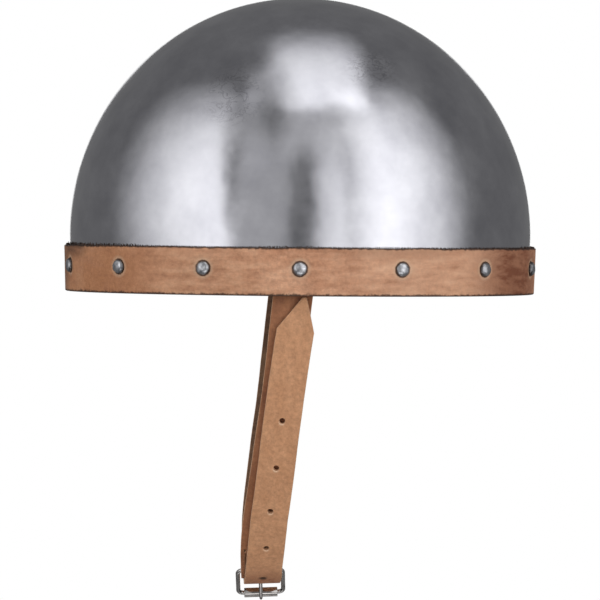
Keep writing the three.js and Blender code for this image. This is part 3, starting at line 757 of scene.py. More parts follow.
@dataclass(frozen=True)
class Bowl:
    """The raised steel bowl: an oval dome on a low wall that leans in towards the rim."""

    half_length: float = 115.0
    half_width: float = 98.0
    rise: float = 118.7
    wall_height: float = 28.0
    wall_lean: float = 1.0
    thickness: float = 2.0
    edge_height: float = 2.0
    rivet_height: float = 13.0
    edge_ease: float = 0.4
    facets: int = 144
    rows: int = 44
    top_ring: float = math.radians(88.5)

    def wall_oval(self, depth: float, height: float) -> Pair:
        """The wall's half length and half width, some depth inside the steel's face, at a height."""
        lean = self.wall_lean * (self.wall_height - height) / self.wall_height
        return (self.half_length - depth - lean, self.half_width - depth - lean)

    def wall_point(self, depth: float, height: float, angle: float) -> Vector:
        """A point of the wall in metres, from depth, height and the angle round the bowl."""
        half_length, half_width = self.wall_oval(depth, height)
        return Vector((half_length * math.cos(angle), half_width * math.sin(angle), height)) * MM

    def dome_oval(self, depth: float, rise: float, elevation: float) -> Place:
        """Half length, half width and height of a ring of a dome over the wall, in millimetres."""
        level = math.cos(elevation)
        return (
            (self.half_length - depth) * level, (self.half_width - depth) * level,
            self.wall_height + rise * math.sin(elevation),
        )

    def dome_point(self, depth: float, rise: float, elevation: float, angle: float) -> Vector:
        """A point of a dome over the wall in metres, by its elevation and its angle."""
        half_length, half_width, height = self.dome_oval(depth, rise, elevation)
        return Vector((half_length * math.cos(angle), half_width * math.sin(angle), height)) * MM

    def outward(self, angle: float) -> Vector:
        """The level direction straight out of the wall at an angle round the bowl."""
        half_length, half_width = self.wall_oval(0, self.rivet_height)
        return Vector((half_width * math.cos(angle), half_length * math.sin(angle), 0)).normalized()

    def even_angles(self, count: int) -> list[float]:
        """Angles that divide the oval at the rivets' height into equal lengths, from the left side on."""
        half_length, half_width = self.wall_oval(0, self.rivet_height)
        steps = 40 * count
        lengths = [0.0]
        for step in range(steps):
            angle = FULL_TURN * (step + 0.5) / steps - QUARTER_TURN
            pace = math.hypot(half_length * math.sin(angle), half_width * math.cos(angle))
            lengths.append(lengths[-1] + pace)
        angles = []
        for place in range(count):
            target = lengths[-1] * place / count
            step = max(1, next(i for i, length in enumerate(lengths) if length >= target))
            share = (target - lengths[step - 1]) / (lengths[step] - lengths[step - 1])
            angles.append(FULL_TURN * (step - 1 + share) / steps - QUARTER_TURN)
        return angles

    def _shell(self, bm: BMesh) -> None:
        """Grows the bowl ring by ring, from the crown's outer face to the rim and back up inside."""
        dome = [self.top_ring * (self.rows - row) / self.rows for row in range(self.rows)]
        outer = [self.dome_oval(0, self.rise, elevation) for elevation in dome]
        inner_rise = self.rise - self.thickness
        inner = [self.dome_oval(self.thickness, inner_rise, elevation) for elevation in dome]
        ovals = outer + [
            (*self.wall_oval(depth, height), height) for depth, height in self._wall_rows()
        ]
        ovals += inner[::-1]
        ring = bmesh.ops.create_circle(bm, cap_ends=True, segments=self.facets, radius=1)["verts"]
        edges = edges_of(ring)
        self._fit(bm, ring, ovals[0], (1 / MM, 1 / MM, 0.0))
        for previous, following in zip(ovals, ovals[1:]):
            ring, edges = parted(bmesh.ops.extrude_edge_only(bm, edges=edges)["geom"])
            self._fit(bm, ring, following, previous)
        bmesh.ops.contextual_create(bm, geom=edges)
        bmesh.ops.recalc_face_normals(bm, faces=bm.faces[:])

    def _wall_rows(self) -> list[Pair]:
        """Depth and height of each ring of the wall, down outside and up inside."""
        ease, low, high = self.edge_ease, self.edge_height, self.wall_height
        outside = [(0.0, high), (0.0, high / 2), (0.0, low + ease), (ease, low)]
        inside = [
            (self.thickness - ease, low), (self.thickness, low + ease), (self.thickness, high / 2),
            (self.thickness, high),
        ]
        return outside + inside

    @staticmethod
    def _fit(bm: BMesh, ring: list[BMVert], oval: Place, now: Place) -> None:
        """Stretches a ring to an oval.

        Args:
            bm: The bmesh.
            ring: The ring's vertices.
            oval: The wanted half length, half width and height in millimetres.
            now: What the ring has now.
        """
        stretch = [wanted * MM / (size * MM) for wanted, size in zip(oval[:2], now[:2])]
        lift = Matrix.Translation((0, 0, oval[2] * MM - now[2] * MM))
        bmesh.ops.transform(bm, matrix=lift @ Matrix.Diagonal((*stretch, 1, 1)), verts=ring)

    def build(self, finishes: Finishes) -> None:
        """Makes the bowl."""
        bm = bmesh.new()
        self._shell(bm)
        finished(
            "steel_bowl", bm, [finishes.steel], "helmet", ["steel_skull"], 30
        )


# Rim band


@dataclass(frozen=True)
class RimBand:
    """The leather strip riveted round the rim, its raw upper edge dyed dark and frayed."""

    bowl: Bowl
    height: float = 23.0
    thickness: float = 2.6
    gap: float = 0.3
    joint: float = 0.6
    ease: float = 0.45
    columns: int = 460
    rows: int = 14
    seat_radius: float = 4.0
    seat_reach: float = 3.4
    seat_depth: float = 0.3
    wander: float = 0.35
    raggedness: float = 0.22
    bulge: float = 0.18
    fibre_count: int = 620
    fibre_foot: float = 0.42
    fibre_tip: float = 0.14

    @property
    def outer(self) -> float:
        """How far the band's outer face stands off the steel's face."""
        return self.gap + self.thickness

    def _angle(self, share: float) -> float:
        """The angle round the bowl at a share of the strip's length, from its joint at the back."""
        gap = self.joint / (2 * self.bowl.half_width)
        return gap + (FULL_TURN - 2 * gap) * share

    def _away(self, angle: float, height: float, seats: Sequence[float]) -> float:
        """How far a place of the outer face is from the nearest rivet's axis."""
        length, width = self.bowl.wall_oval(-self.outer, self.bowl.rivet_height)
        pace = math.hypot(length * math.sin(angle), width * math.cos(angle))
        nearest = min(abs(math.remainder(angle - seat, FULL_TURN)) for seat in seats)
        return math.hypot(nearest * pace, height - self.bowl.rivet_height)

    def _strip(self, bm: BMesh, seats: Sequence[float]) -> None:
        """Cuts the strip flat, bends it round the rim and presses the rivets' seats into it.

        Args:
            bm: The bmesh that takes the strip.
            seats: The rivets' angles round the bowl.
        """
        bmesh.ops.create_grid(bm, x_segments=self.columns, y_segments=self.rows, size=0.5)
        from_rivet = bm.verts.layers.float.new("from_rivet")
        from_edge = bm.verts.layers.float.new("from_edge")
        grown = bmesh.ops.extrude_face_region(bm, geom=bm.faces[:], use_keep_orig=True)["geom"]
        for item in grown:
            if isinstance(item, BMVert):
                item.co.z = 1
        bmesh.ops.recalc_face_normals(bm, faces=bm.faces[:])
        for face in bm.faces:
            side = Face.GRAIN if face.calc_center_median().z > 0.5 else Face.FLESH
            face.material_index = (side if abs(face.normal.z) > 0.5 else Face.CUT).value
        inset = self.ease / self.height
        for vert in bm.verts:
            share, level, side = vert.co.x + 0.5, vert.co.y + 0.5, vert.co.z
            angle = self._angle(share)
            # The rows lie closer at both edges, where the face rounds over
            level = 0.5 + 0.5 * math.sin((level - 0.5) * math.pi)
            height = level * self.height
            edge = min(level, 1 - level) / inset
            rounding = self.ease * (1 - math.sqrt(1 - (1 - min(1, edge)) ** 2))
            wander = noise.noise(Vector((angle * 9, 0.4, level))) * self.wander
            ragged = noise.noise(Vector((angle * 160, 2.7, 0))) * self.raggedness
            height += (wander + ragged) * smooth_step(2 * level - 1)
            away = self._away(angle, height, seats)
            vert[from_rivet] = away * MM if side else 1
            # The lower edge counts as nearer, so that the darkening reaches further in there
            vert[from_edge] = min(self.height * (1 - level), self.height * level * 0.65) * MM
            press = 1 - smooth_step((away - self.seat_radius) / self.seat_reach)
            bulge = noise.noise(Vector((angle * 14, height * 0.05, 5.1))) * self.bulge
            face = self.thickness - rounding + bulge - press * self.seat_depth
            vert.co = self.bowl.wall_point(-(self.gap + side * face), height, angle)
        bmesh.ops.recalc_face_normals(bm, faces=bm.faces[:])

    def _fibres(self, bm: BMesh) -> None:
        """Stands short fibres on the raw upper edge, thickest towards the front left."""
        for index in range(self.fibre_count):
            seed = Vector((index * 1.37, 8.3, 0.5))
            angle = self._angle((index + 0.5 + 0.4 * noise.noise(seed)) / self.fibre_count)
            # Fibres are drawn some 0.5 mm thick, as tufts of far finer real ones, so that they show
            front = max(0.0, -math.cos(angle)) ** 5 * min(1.0, max(0.0, -5 * math.sin(angle)))
            wild = 0.35 + 1.5 * front + 0.9 * noise.noise(Vector((angle * 6, 1.5, 3.3)))
            tall = 0.25 + 1.3 * max(0.0, wild) * abs(noise.noise(Vector((index * 0.77, 4.4, 1))))
            before = set(bm.verts)
            bmesh.ops.create_cone(
                bm, cap_ends=True, segments=3, radius1=self.fibre_foot * MM,
                radius2=self.fibre_tip * MM, depth=(tall + 0.8) * MM,
            )
            made = [vert for vert in bm.verts if vert not in before]
            depth = -self.gap - self.thickness * (0.45 + 0.3 * noise.noise(seed * 3))
            root = self.bowl.wall_point(depth, self.height - 0.1 + tall / 2, angle)
            lean = Matrix.Rotation(1.3 * noise.noise(seed * 5), 4, self.bowl.outward(angle))
            bmesh.ops.transform(bm, matrix=Matrix.Translation(root) @ lean, verts=made)
            for face in faces_of(made):
                face.material_index = Face.CUT.value

    def build(self, finishes: Finishes, seats: Sequence[float]) -> None:
        """Makes the band with its frayed edge.

        Args:
            finishes: The cap's finishes.
            seats: The rivets' angles round the bowl.
        """
        bm = bmesh.new()
        self._strip(bm, seats)
        self._fibres(bm)
        sides = [finishes.band, finishes.flesh, finishes.band_cut]
        finished("leather_rim_band", bm, sides, "helmet", ["rim_band"], 50)


# Rivets


@dataclass(frozen=True)
class Rivets:
    """Round-headed rivets through band, steel and lining, each peened over a burr inside."""

    bowl: Bowl
    band: RimBand
    count: int = 14
    head_radius: float = 3.6
    head_top: float = 5.0
    head_side: float = 0.35
    shank_radius: float = 1.5
    tail_radius: float = 2.3
    tail_height: float = 0.9
    tail_gap: float = 0.15
    burr_radius: float = 3.5
    burr_thickness: float = 0.9
    lining_face: float = 4.3
    strap_face: float = 9.0
    strap_forward: float = 1.5
    seat_gap: float = 0.3

    @property
    def strap_rivets(self) -> tuple[int, int]:
        """The side rivets, at the wearer's left and right, that also carry the chin strap."""
        return (0, self.count // 2)

    @property
    def angles(self) -> list[float]:
        """The rivets' angles round the bowl, the side ones a little forward of the middle."""
        angles = self.bowl.even_angles(self.count)
        half_length = self.bowl.wall_oval(0, self.bowl.rivet_height)[0]
        forward = math.acos(-self.strap_forward / half_length)
        for index in self.strap_rivets:
            angles[index] = math.copysign(forward, angles[index])
        return angles

    def _place(self, index: int, angle: float) -> Matrix:
        """Stands a rivet's axis straight out of the steel's face, or straight across for the strap's."""
        outward = self.bowl.outward(angle)
        if index in self.strap_rivets:
            outward = Vector((0, math.copysign(1, angle), 0))
        turn = outward.to_track_quat("Z", "Y").to_matrix().to_4x4()
        return Matrix.Translation(self.bowl.wall_point(0, self.bowl.rivet_height, angle)) @ turn

    def _rivet(self, bm: BMesh, burr_face: float, seed: float) -> None:
        """Turns one rivet and gives its head the flats of a hammer.

        Args:
            bm: The bmesh that takes the rivet.
            burr_face: Where its burr lies on its axis.
            seed: A number that makes its flats its own.
        """
        foot = self.band.outer - self.band.seat_depth
        rise = self.head_top - foot - self.head_side
        dome = [
            (self.head_radius * math.sin(a), foot + self.head_side + rise * math.cos(a))
            for a in quarter(9)
        ]
        tail_top = burr_face - self.burr_thickness - self.tail_gap
        tail = [
            (self.tail_radius * math.cos(a), tail_top - self.tail_height * math.sin(a))
            for a in quarter(4)
        ]
        under = [
            (self.head_radius - 0.12, foot + 0.08), (self.head_radius - 0.5, foot),
            (self.shank_radius, foot), (self.shank_radius, tail_top),
        ]
        from_axis = bm.verts.layers.float.new("from_axis")
        turned(bm, [*dome, *under, *tail], 32)
        for vert in bm.verts:
            vert[from_axis] = vert.co.xy.length
            if vert.co.z > (foot + 0.3) * MM:
                spot = vert.co / MM * 0.55 + Vector((seed, 0, 0))
                vert.co += vert.co.normalized() * noise.cell(spot) * 0.05 * MM
                vert.co += vert.co.normalized() * noise.noise(spot) * 0.16 * MM

    def _burr(self, bm: BMesh, burr_face: float) -> None:
        """Turns one burr, eased at its outer edge."""
        top, under = burr_face + self.seat_gap, burr_face - self.burr_thickness
        profile = [
            (self.shank_radius, top), (self.burr_radius, top), (self.burr_radius, under + 0.25),
            (self.burr_radius - 0.25, under), (self.shank_radius, under), (self.shank_radius, top),
        ]
        turned(bm, profile, 32)

    def build(self, finishes: Finishes) -> None:
        """Makes each rivet and its burr."""
        for index, angle in enumerate(self.angles):
            innermost = self.strap_face if index in self.strap_rivets else self.lining_face
            burr_face = -innermost - self.seat_gap
            label = f"{index + 1:02d}"
            for kind, node in (("rivet", "rim_rivet"), ("burr", "rivet_burr")):
                bm = bmesh.new()
                if kind == "rivet":
                    self._rivet(bm, burr_face, index * 3.7)
                else:
                    self._burr(bm, burr_face)
                bmesh.ops.transform(bm, matrix=self._place(index, angle), verts=bm.verts[:])
                finished(
                    f"{kind}_{label}", bm, [finishes.rivet], "helmet",
                    [f"{node}_{label}"], 35,
                )


# Lining and lace


@dataclass(frozen=True)
class Lining:
    """The leather inside: a strip round the rim that is cut into tongues above."""

    bowl: Bowl
    thickness: float = 2.0
    gap: float = 0.3
    edge_height: float = 3.5
    crown_space: float = 16.7
    tongues: int = 8
    root: float = math.radians(6)
    tip: float = math.radians(76)
    shoulder: float = math.radians(72)
    tip_share: float = 0.55
    slit: float = 1.4
    slit_flare: float = 1.8
    slit_opening: float = math.radians(3)
    slack: float = 0.4
    waver: float = 0.45
    hole_inset: float = 7.0
    hole_radius: float = 2.0
    edge_ease: float = 0.35
    columns: int = 10
    rows: int = 22

    @property
    def rise(self) -> float:
        """How far the tongues would rise over the wall if they met."""
        return self.bowl.rise - self.bowl.thickness - self.crown_space

    @property
    def depth(self) -> float:
        """How far the lining's outer face lies inside the steel's face."""
        return self.bowl.thickness + self.gap

    def tongue_angle(self, place: float) -> float:
        """The angle of a tongue's middle round the bowl."""
        return FULL_TURN * (place + 0.5) / self.tongues

    def hole_place(self, angle: float) -> tuple[Vector, Vector, Vector]:
        """Where the lace passes near a tongue's tip.

        Args:
            angle: The angle round the bowl.

        Returns:
            The middle of the leather, the way out through it and the way round the bowl.
        """
        middle_depth = self.depth + self.thickness / 2
        middle_rise = self.rise - self.thickness / 2
        elevation = self.tip - self.hole_inset / self.rise
        middle = self.bowl.dome_point(middle_depth, middle_rise, elevation, angle)
        level = Vector((middle.x, middle.y, middle.z - self.bowl.wall_height * MM))
        spans = (
            self.bowl.half_length - middle_depth, self.bowl.half_width - middle_depth, middle_rise
        )
        outward = Vector([c / span**2 for c, span in zip(level, spans)]).normalized()
        return middle, outward, Vector((-math.sin(angle), math.cos(angle), 0))

    def _heights(self) -> list[float]:
        """The rows of the blank: heights in the wall, then elevations that are told by a minus sign."""
        wall = [self.edge_height + (self.bowl.wall_height - self.edge_height) * i / 5 for i in range(6)]
        climb = [self.root * i / 2 for i in (1, 2)]
        reach = self.shoulder - self.root
        climb += [self.root + reach * i / self.rows for i in range(1, self.rows + 1)]
        climb += [self.shoulder + (self.tip - self.shoulder) * i / 3 for i in (1, 2, 3)]
        return wall + [-elevation for elevation in climb]

    def _carry(self, tongue: int, across: float, row: float) -> Vector:
        """Puts a point of the flat blank on the bowl.

        Args:
            tongue: Which tongue the point belongs to.
            across: Its place across that tongue, from -1 to 1.
            row: Its row's height in the wall, or its elevation with a minus sign.

        Returns:
            The point in metres, on the lining's outer face.
        """
        half = math.pi / self.tongues
        if row >= 0:
            return self.bowl.wall_point(self.depth, row, self.tongue_angle(tongue) + half * across)
        elevation = -row
        climb = max(0.0, elevation - self.root) / (self.tip - self.root)
        if elevation > self.root:
            opening = min(1.0, (elevation - self.root) / self.slit_opening)
            reach = self.bowl.half_width * math.cos(elevation)
            half -= opening * (self.slit + self.slit_flare * climb) / reach
        past = max(0.0, elevation - self.shoulder) / (self.tip - self.shoulder)
        half *= 1 - (1 - self.tip_share) * past
        uneven = noise.noise(Vector((tongue * 2.3, across, climb * 3)))
        depth = self.depth + self.slack + self.waver * math.sin(math.pi * climb) * uneven
        angle = self.tongue_angle(tongue) + half * across
        return self.bowl.dome_point(depth, self.rise, elevation, angle)

    def _slit(self, bm: BMesh, rows: Sequence[float]) -> list[BMVert]:
        """Slits the flat blank into tongues above their root.

        Args:
            bm: The flat blank, a grid with sides of 1.
            rows: The heights of its rows.

        Returns:
            The vertex of each tongue round which its tip is holed.
        """
        columns = self.tongues * self.columns
        split_row = next(i for i, row in enumerate(rows) if -row >= self.root - 1e-9)
        holed = self.tip - self.hole_inset / self.rise
        hole_row = min(range(len(rows)), key=lambda i: abs(-rows[i] - holed))

        def lines(vert: BMVert) -> tuple[int, int]:
            """Which column line and which row line of the grid a vertex is on."""
            return round((vert.co.x + 0.5) * columns), round((vert.co.y + 0.5) * (len(rows) - 1))

        slits = []
        for edge in bm.edges:
            (column, row), (other_column, other_row) = (lines(vert) for vert in edge.verts)
            upright = column == other_column and column % self.columns == 0
            if upright and min(row, other_row) >= split_row:
                slits.append(edge)
        bmesh.ops.split_edges(bm, edges=slits)
        places = ((vert, *lines(vert)) for vert in bm.verts)
        middle = self.columns // 2
        return [v for v, column, row in places if row == hole_row and column % self.columns == middle]

    def _hang(self, bm: BMesh, rows: Sequence[float]) -> None:
        """Carries the slit blank onto the bowl, each point with the tongue that its faces are on."""
        carried: dict[BMVert, Vector] = {}
        for vert in bm.verts:
            middle = sum(face.calc_center_median().x for face in vert.link_faces)
            middle /= len(vert.link_faces)
            tongue = min(self.tongues - 1, int((middle + 0.5) * self.tongues))
            across = ((vert.co.x + 0.5) * self.tongues - tongue) * 2 - 1
            row = rows[round((vert.co.y + 0.5) * (len(rows) - 1))]
            carried[vert] = self._carry(tongue, across, row)
        for vert, point in carried.items():
            vert.co = point
        bmesh.ops.remove_doubles(bm, verts=bm.verts[:], dist=1e-6)

    def _punch(self, bm: BMesh, tips: list[BMVert]) -> None:
        """Punches a hole round each tip's vertex and turns the sheet's faces outward."""
        rounded = bmesh.ops.bevel(
            bm, geom=tips, affect="VERTICES", offset=self.hole_radius * MM, offset_type="OFFSET",
            segments=3, profile=0.5, material=-1,
        )
        holes = [face for face in rounded["faces"] if face.is_valid]
        bmesh.ops.delete(bm, geom=holes, context="FACES_ONLY")
        bmesh.ops.recalc_face_normals(bm, faces=bm.faces[:])
        crown = max(bm.faces, key=lambda face: face.calc_center_median().z)
        if crown.normal.z < 0:
            bmesh.ops.reverse_faces(bm, faces=bm.faces[:])

    def build(self, finishes: Finishes) -> None:
        """Cuts the blank, slits it into tongues, holes their tips and thickens it inward."""
        rows = self._heights()
        bm = bmesh.new()
        columns = self.tongues * self.columns
        bmesh.ops.create_grid(bm, x_segments=columns, y_segments=len(rows) - 1, size=0.5)
        tips = self._slit(bm, rows)
        self._hang(bm, rows)
        self._punch(bm, [vert for vert in tips if vert.is_valid])
        bmesh.ops.solidify(bm, geom=bm.faces[:], thickness=self.thickness * MM)
        ease_rims(bm, self.edge_ease * MM, 1, held=True)
        finished("leather_lining", bm, [finishes.lining], "helmet", ["lining"], 50)


@dataclass(frozen=True)
class CrownLace:
    """The leather lace through the tongue tips, knotted between two of them."""

    lining: Lining
    radius: float = 1.0
    gap: float = 0.4
    crossing: float = 1.5
    tail: float = 22.0
    spread: float = 5.0
    knot_length: float = 3.2
    knot_radius: float = 1.7
    knot_turns: float = 2.2
    steps: int = 12

    def _points(self) -> list[Vector]:
        """The path's turning points, in through one tip and out through the next."""
        bow = (self.lining.thickness / 2 + self.radius + self.gap) * MM
        points = []
        for place in range(self.lining.tongues):
            side = 1 if place % 2 == 0 else -1
            middle, outward, around = self.lining.hole_place(self.lining.tongue_angle(place))
            points.append(middle - around * self.crossing * MM - outward * side * bow)
            points.append(middle + around * self.crossing * MM + outward * side * bow)
            between, out, _ = self.lining.hole_place(self.lining.tongue_angle(place + 0.5))
            points.append(between + out * side * bow)
        return points

    @staticmethod
    def _curve(points: Sequence[Vector], steps: int, endless: bool) -> list[Vector]:
        """A smooth path through points.

        Args:
            points: What it passes through.
            steps: Points between each pair.
            endless: Whether it joins back to its start.

        Returns:
            The path's points.
        """
        count = len(points)
        path = []
        for span in range(count if endless else count - 1):
            near = range(span - 1, span + 3)
            a, b, c, d = (points[i % count if endless else min(max(i, 0), count - 1)] for i in near)
            square, cube = 2 * a - 5 * b + 4 * c - d, 3 * b - a - 3 * c + d
            for t in (step / steps for step in range(steps)):
                path.append((2 * b + (c - a) * t + square * t**2 + cube * t**3) / 2)
        if not endless:
            path.append(points[-1].copy())
        return path

    def build(self, finishes: Finishes) -> None:
        """Makes the laced ring, its knot and its two tails."""
        bm = bmesh.new()
        points = self._points()
        ring = self._curve(points, self.steps, True)
        thong = (self.radius * MM, self.radius * 0.7 * MM)
        up = Vector((0, 0, 1))
        sweep(bm, frames_along(ring, [thong] * len(ring), up, True), 10, True)
        knot = points[-1]
        _, outward, around = self.lining.hole_place(
            self.lining.tongue_angle(self.lining.tongues - 0.5)
        )
        inward = outward.cross(around)
        turns = []
        for share in (step / 40 for step in range(41)):
            angle = FULL_TURN * self.knot_turns * share
            coil = outward * math.cos(angle) + inward * math.sin(angle)
            ahead = self.knot_length * (share - 0.5)
            turns.append(knot + around * ahead * MM + coil * self.knot_radius * MM)
        sweep(bm, frames_along(turns, [thong] * len(turns), around, False), 10, False)
        for side in (-1, 1):
            drop = up * MM
            legs = [
                knot.copy(), knot + around * side * 3 * MM - outward * 1.5 * MM,
                knot + around * side * self.spread * MM - drop * self.spread - outward * 2.5 * MM,
                knot + around * side * (self.spread - 1) * MM - drop * self.tail * 0.6,
                knot + around * side * self.spread * MM - drop * self.tail,
            ]
            path = self._curve(legs, 8, False)
            shares = [min(1.0, (len(path) - i) / 6) for i in range(len(path))]
            sizes = [(thong[0] * (0.4 + 0.6 * s), thong[1] * (0.4 + 0.6 * s)) for s in shares]
            sweep(bm, frames_along(path, sizes, outward, False), 10, False)
        finished("laced_thong", bm, [finishes.lace], "helmet", ["crown_lace"], 60)


# Chin strap


@dataclass(frozen=True)
class Leg:
    """A straight run and the round bend after it, in millimetres and radians."""

    run: float = 0.0
    radius: float = 0.0
    turn: float = 0.0


@dataclass(frozen=True)
class Station:
    """A place on a route and the way that it heads, in the chin strap's plane."""

    y: float
    z: float
    heading: float


class Route:
    """A strap's middle line in the chin strap's plane: straight runs and round bends."""

    def __init__(self, start: Station, legs: Sequence[Leg]) -> None:
        """Lays the legs end to end from the start."""
        self.parts: list[tuple[float, float, float, Station]] = []
        station, along = start, 0.0
        for leg in legs:
            if leg.run > 0:
                self.parts.append((along, leg.run, 0.0, station))
                station = self._ahead(station, leg.run, 0.0)
                along += leg.run
            if leg.turn:
                length = leg.radius * abs(leg.turn)
                bend = leg.turn / length
                self.parts.append((along, length, bend, station))
                station = self._ahead(station, length, bend)
                along += length
        self.length = along

    @staticmethod
    def _ahead(station: Station, length: float, bend: float) -> Station:
        """The station some length on, along a run or a bend of so many radians per millimetre."""
        turn = bend * length
        chord = length if abs(turn) < 1e-9 else 2 * math.sin(abs(turn) / 2) * length / abs(turn)
        way = station.heading + turn / 2
        return Station(
            station.y + chord * math.cos(way), station.z + chord * math.sin(way),
            station.heading + turn,
        )

    def at(self, along: float) -> Station:
        """The station at a distance along the route, going straight on past its end."""
        start, _, bend, station = next(
            (part for part in reversed(self.parts) if part[0] <= along), self.parts[0]
        )
        if along > self.length:
            start, length, bend, station = self.parts[-1]
            return self._ahead(self._ahead(station, length, bend), along - self.length, 0.0)
        return self._ahead(station, along - start, bend)

    def bends(self) -> list[tuple[float, float, float]]:
        """Start, length and bend of every part."""
        return [(start, length, bend) for start, length, bend, _ in self.parts]


def round_end(half: float) -> list[Pair]:
    """The outline of a strap's half-round end in the flat, by its half width."""
    arc = [QUARTER_TURN + math.pi * step / 16 for step in range(17)]
    return [(half + half * math.cos(a), half * math.sin(a)) for a in arc]


def oblong(centre: Pair, half_length: float, half_width: float, points: int = 20) -> list[Pair]:
    """A round or oblong hole's outline in the flat, its length along the strap."""
    straight = half_length - half_width
    outline = []
    for step in range(points):
        angle = FULL_TURN * step / points
        shift = straight if math.cos(angle) >= 0 else -straight
        along = centre[0] + shift + half_width * math.cos(angle)
        outline.append((along, centre[1] + half_width * math.sin(angle)))
    return outline


@dataclass(frozen=True)
class StrapBlank:
    """A strap cut flat with its holes, ready to be bent along its route."""

    outline: list[Pair]
    holes: list[list[Pair]]
    thickness: float
    ease: float = 0.4

    def cut(self) -> BMesh:
        """Cuts the blank with eased edges, in millimetres, its length along X and its face at +Z."""
        curve = bpy.data.curves.new("blank", "CURVE")
        curve.dimensions = "2D"
        curve.fill_mode = "BOTH"
        curve.extrude = self.thickness / 2 - self.ease
        curve.bevel_depth = self.ease
        curve.bevel_resolution = 2
        curve.offset = -self.ease
        for loop in (self.outline, *self.holes):
            spline = curve.splines.new("POLY")
            spline.points.add(len(loop) - 1)
            for point, (along, across) in zip(spline.points, loop):
                point.co = (along, across, 0, 1)
            spline.use_cyclic_u = True
        holder = bpy.data.objects.new("blank", curve)
        bpy.context.scene.collection.objects.link(holder)
        bpy.context.view_layer.update()
        graph = bpy.context.evaluated_depsgraph_get()
        mesh = bpy.data.meshes.new_from_object(holder.evaluated_get(graph))
        bm = bmesh.new()
        bm.from_mesh(mesh)
        bpy.data.objects.remove(holder)
        bpy.data.curves.remove(curve)
        bpy.data.meshes.remove(mesh)
        close_up(bm, 1e-4)
        return bm


def slice_blank(bm: BMesh, cuts: Sequence[float], way: Place) -> None:
    """Slices a blank across at each distance, so that it can bend there."""
    for cut in cuts:
        bmesh.ops.bisect_plane(
            bm, geom=[*bm.verts, *bm.edges, *bm.faces], dist=1e-5, plane_co=Vector(way) * cut,
            plane_no=way,
        )


@dataclass(frozen=True)
class StrapPlane:
    """Where the chin strap hangs: sizes that its two straps and its buckle share."""

    bowl: Bowl
    thickness: float = 2.6
    buckle_width: float = 19.0
    holed_width: float = 18.0
    strap_face: float = 6.4
    layer_gap: float = 0.25
    forward: float = 1.5
    slant: float = math.radians(7.7)
    drop: float = 41.6
    hang_bend: float = 29.0
    hang_turn: float = math.radians(10)
    side_turn: float = math.radians(45)
    side_share: float = 1.5655
    chin_share: float = 0.5108
    far_share: float = 1.0881
    wire_radius: float = 1.1
    bar_gap: float = 0.15

    @property
    def side(self) -> float:
        """How far each strap's middle face hangs from the middle of the cap."""
        half_width = self.bowl.wall_oval(0, self.bowl.rivet_height)[1]
        return half_width - self.strap_face - self.thickness / 2

    @property
    def layer(self) -> float:
        """The step from one layer of strap to the next."""
        return self.thickness + self.layer_gap

    @property
    def side_bend(self) -> float:
        """The radius of the bend down the side."""
        return self.side_share * self.side

    @property
    def chin_bend(self) -> float:
        """The radius of the bend in under the chin."""
        return self.chin_share * self.side

    @property
    def fold_radius(self) -> float:
        """The radius of the strap's middle round the back bar."""
        return self.wire_radius + self.bar_gap + self.thickness / 2

    @property
    def fold_bottom(self) -> float:
        """The height of the buckle strap's middle under the back bar."""
        rise = 1 - math.sin(self.side_turn)
        return -(self.drop + self.side_bend * math.sin(self.side_turn) + self.chin_bend * rise)

    @property
    def back_bar(self) -> Pair:
        """Y and Z of the buckle's back bar."""
        across = self.side_bend * (1 - math.cos(self.side_turn))
        across += self.chin_bend * math.cos(self.side_turn) - self.side
        return (across, self.fold_bottom + self.fold_radius)

    @property
    def hang_start(self) -> float:
        """How far below the rivets the straps start to bend back in their own plane."""
        return -self.back_bar[1] - self.fold_radius - self.thickness / 2 - self.hang_bend

    def hung(self, x: float, y: float, z: float) -> Vector:
        """A point of the strap's plane once the straps are bent back above the buckle."""
        past = max(0.0, -z - self.hang_start)
        if past == 0:
            return Vector((x, y, z))
        radius = self.hang_bend / self.hang_turn
        turn = min(past, self.hang_bend) / radius
        below = max(0.0, past - self.hang_bend)
        return Vector(
            (
                radius - (radius - x) * math.cos(turn) + below * math.sin(turn), y,
                -self.hang_start - (radius - x) * math.sin(turn) - below * math.cos(turn),
            )
        )

    def off_line(self, station: Station, x: float, stand: float) -> Vector:
        """A hung point beside a strap's middle line, standing so far off its middle face."""
        y = station.y - stand * math.sin(station.heading)
        return self.hung(x, y, station.z + stand * math.cos(station.heading))

    def placement(self) -> Matrix:
        """Carries a point of the strap's plane, in millimetres, into the frame."""
        hang = Matrix.Translation((-self.forward * MM, 0, self.bowl.rivet_height * MM))
        return hang @ Matrix.Rotation(self.slant, 4, "Y") @ Matrix.Scale(MM, 4)

    def bend(
        self, bm: BMesh, route: Route, shift: Callable[[float], float], seed: float, grain_up: bool
    ) -> None:
        """Bends a flat blank along a route and hangs it in the frame.

        Args:
            bm: The blank in millimetres, its length along X.
            route: The strap's middle line.
            shift: How far the strap stands to the back at a distance along it.
            seed: A number that makes the leather's unevenness its own.
            grain_up: Whether the blank's upper face is the grain side.
        """
        for face in bm.faces:
            side = Face.GRAIN if (face.normal.z > 0) == grain_up else Face.FLESH
            face.material_index = (side if abs(face.normal.z) > 0.9 else Face.CUT).value
        placement = self.placement()
        for vert in bm.verts:
            along, across, face = vert.co
            spot = Vector((along * 0.035, seed, 0))
            waver = noise.noise(spot) * 0.22 + noise.noise(spot * 3.1) * 0.08
            face += noise.noise(Vector((along * 0.06, across * 0.09, seed))) * 0.07
            x = shift(along) + across + waver
            vert.co = placement @ self.off_line(route.at(along), x, face)
        bmesh.ops.recalc_face_normals(bm, faces=bm.faces[:])


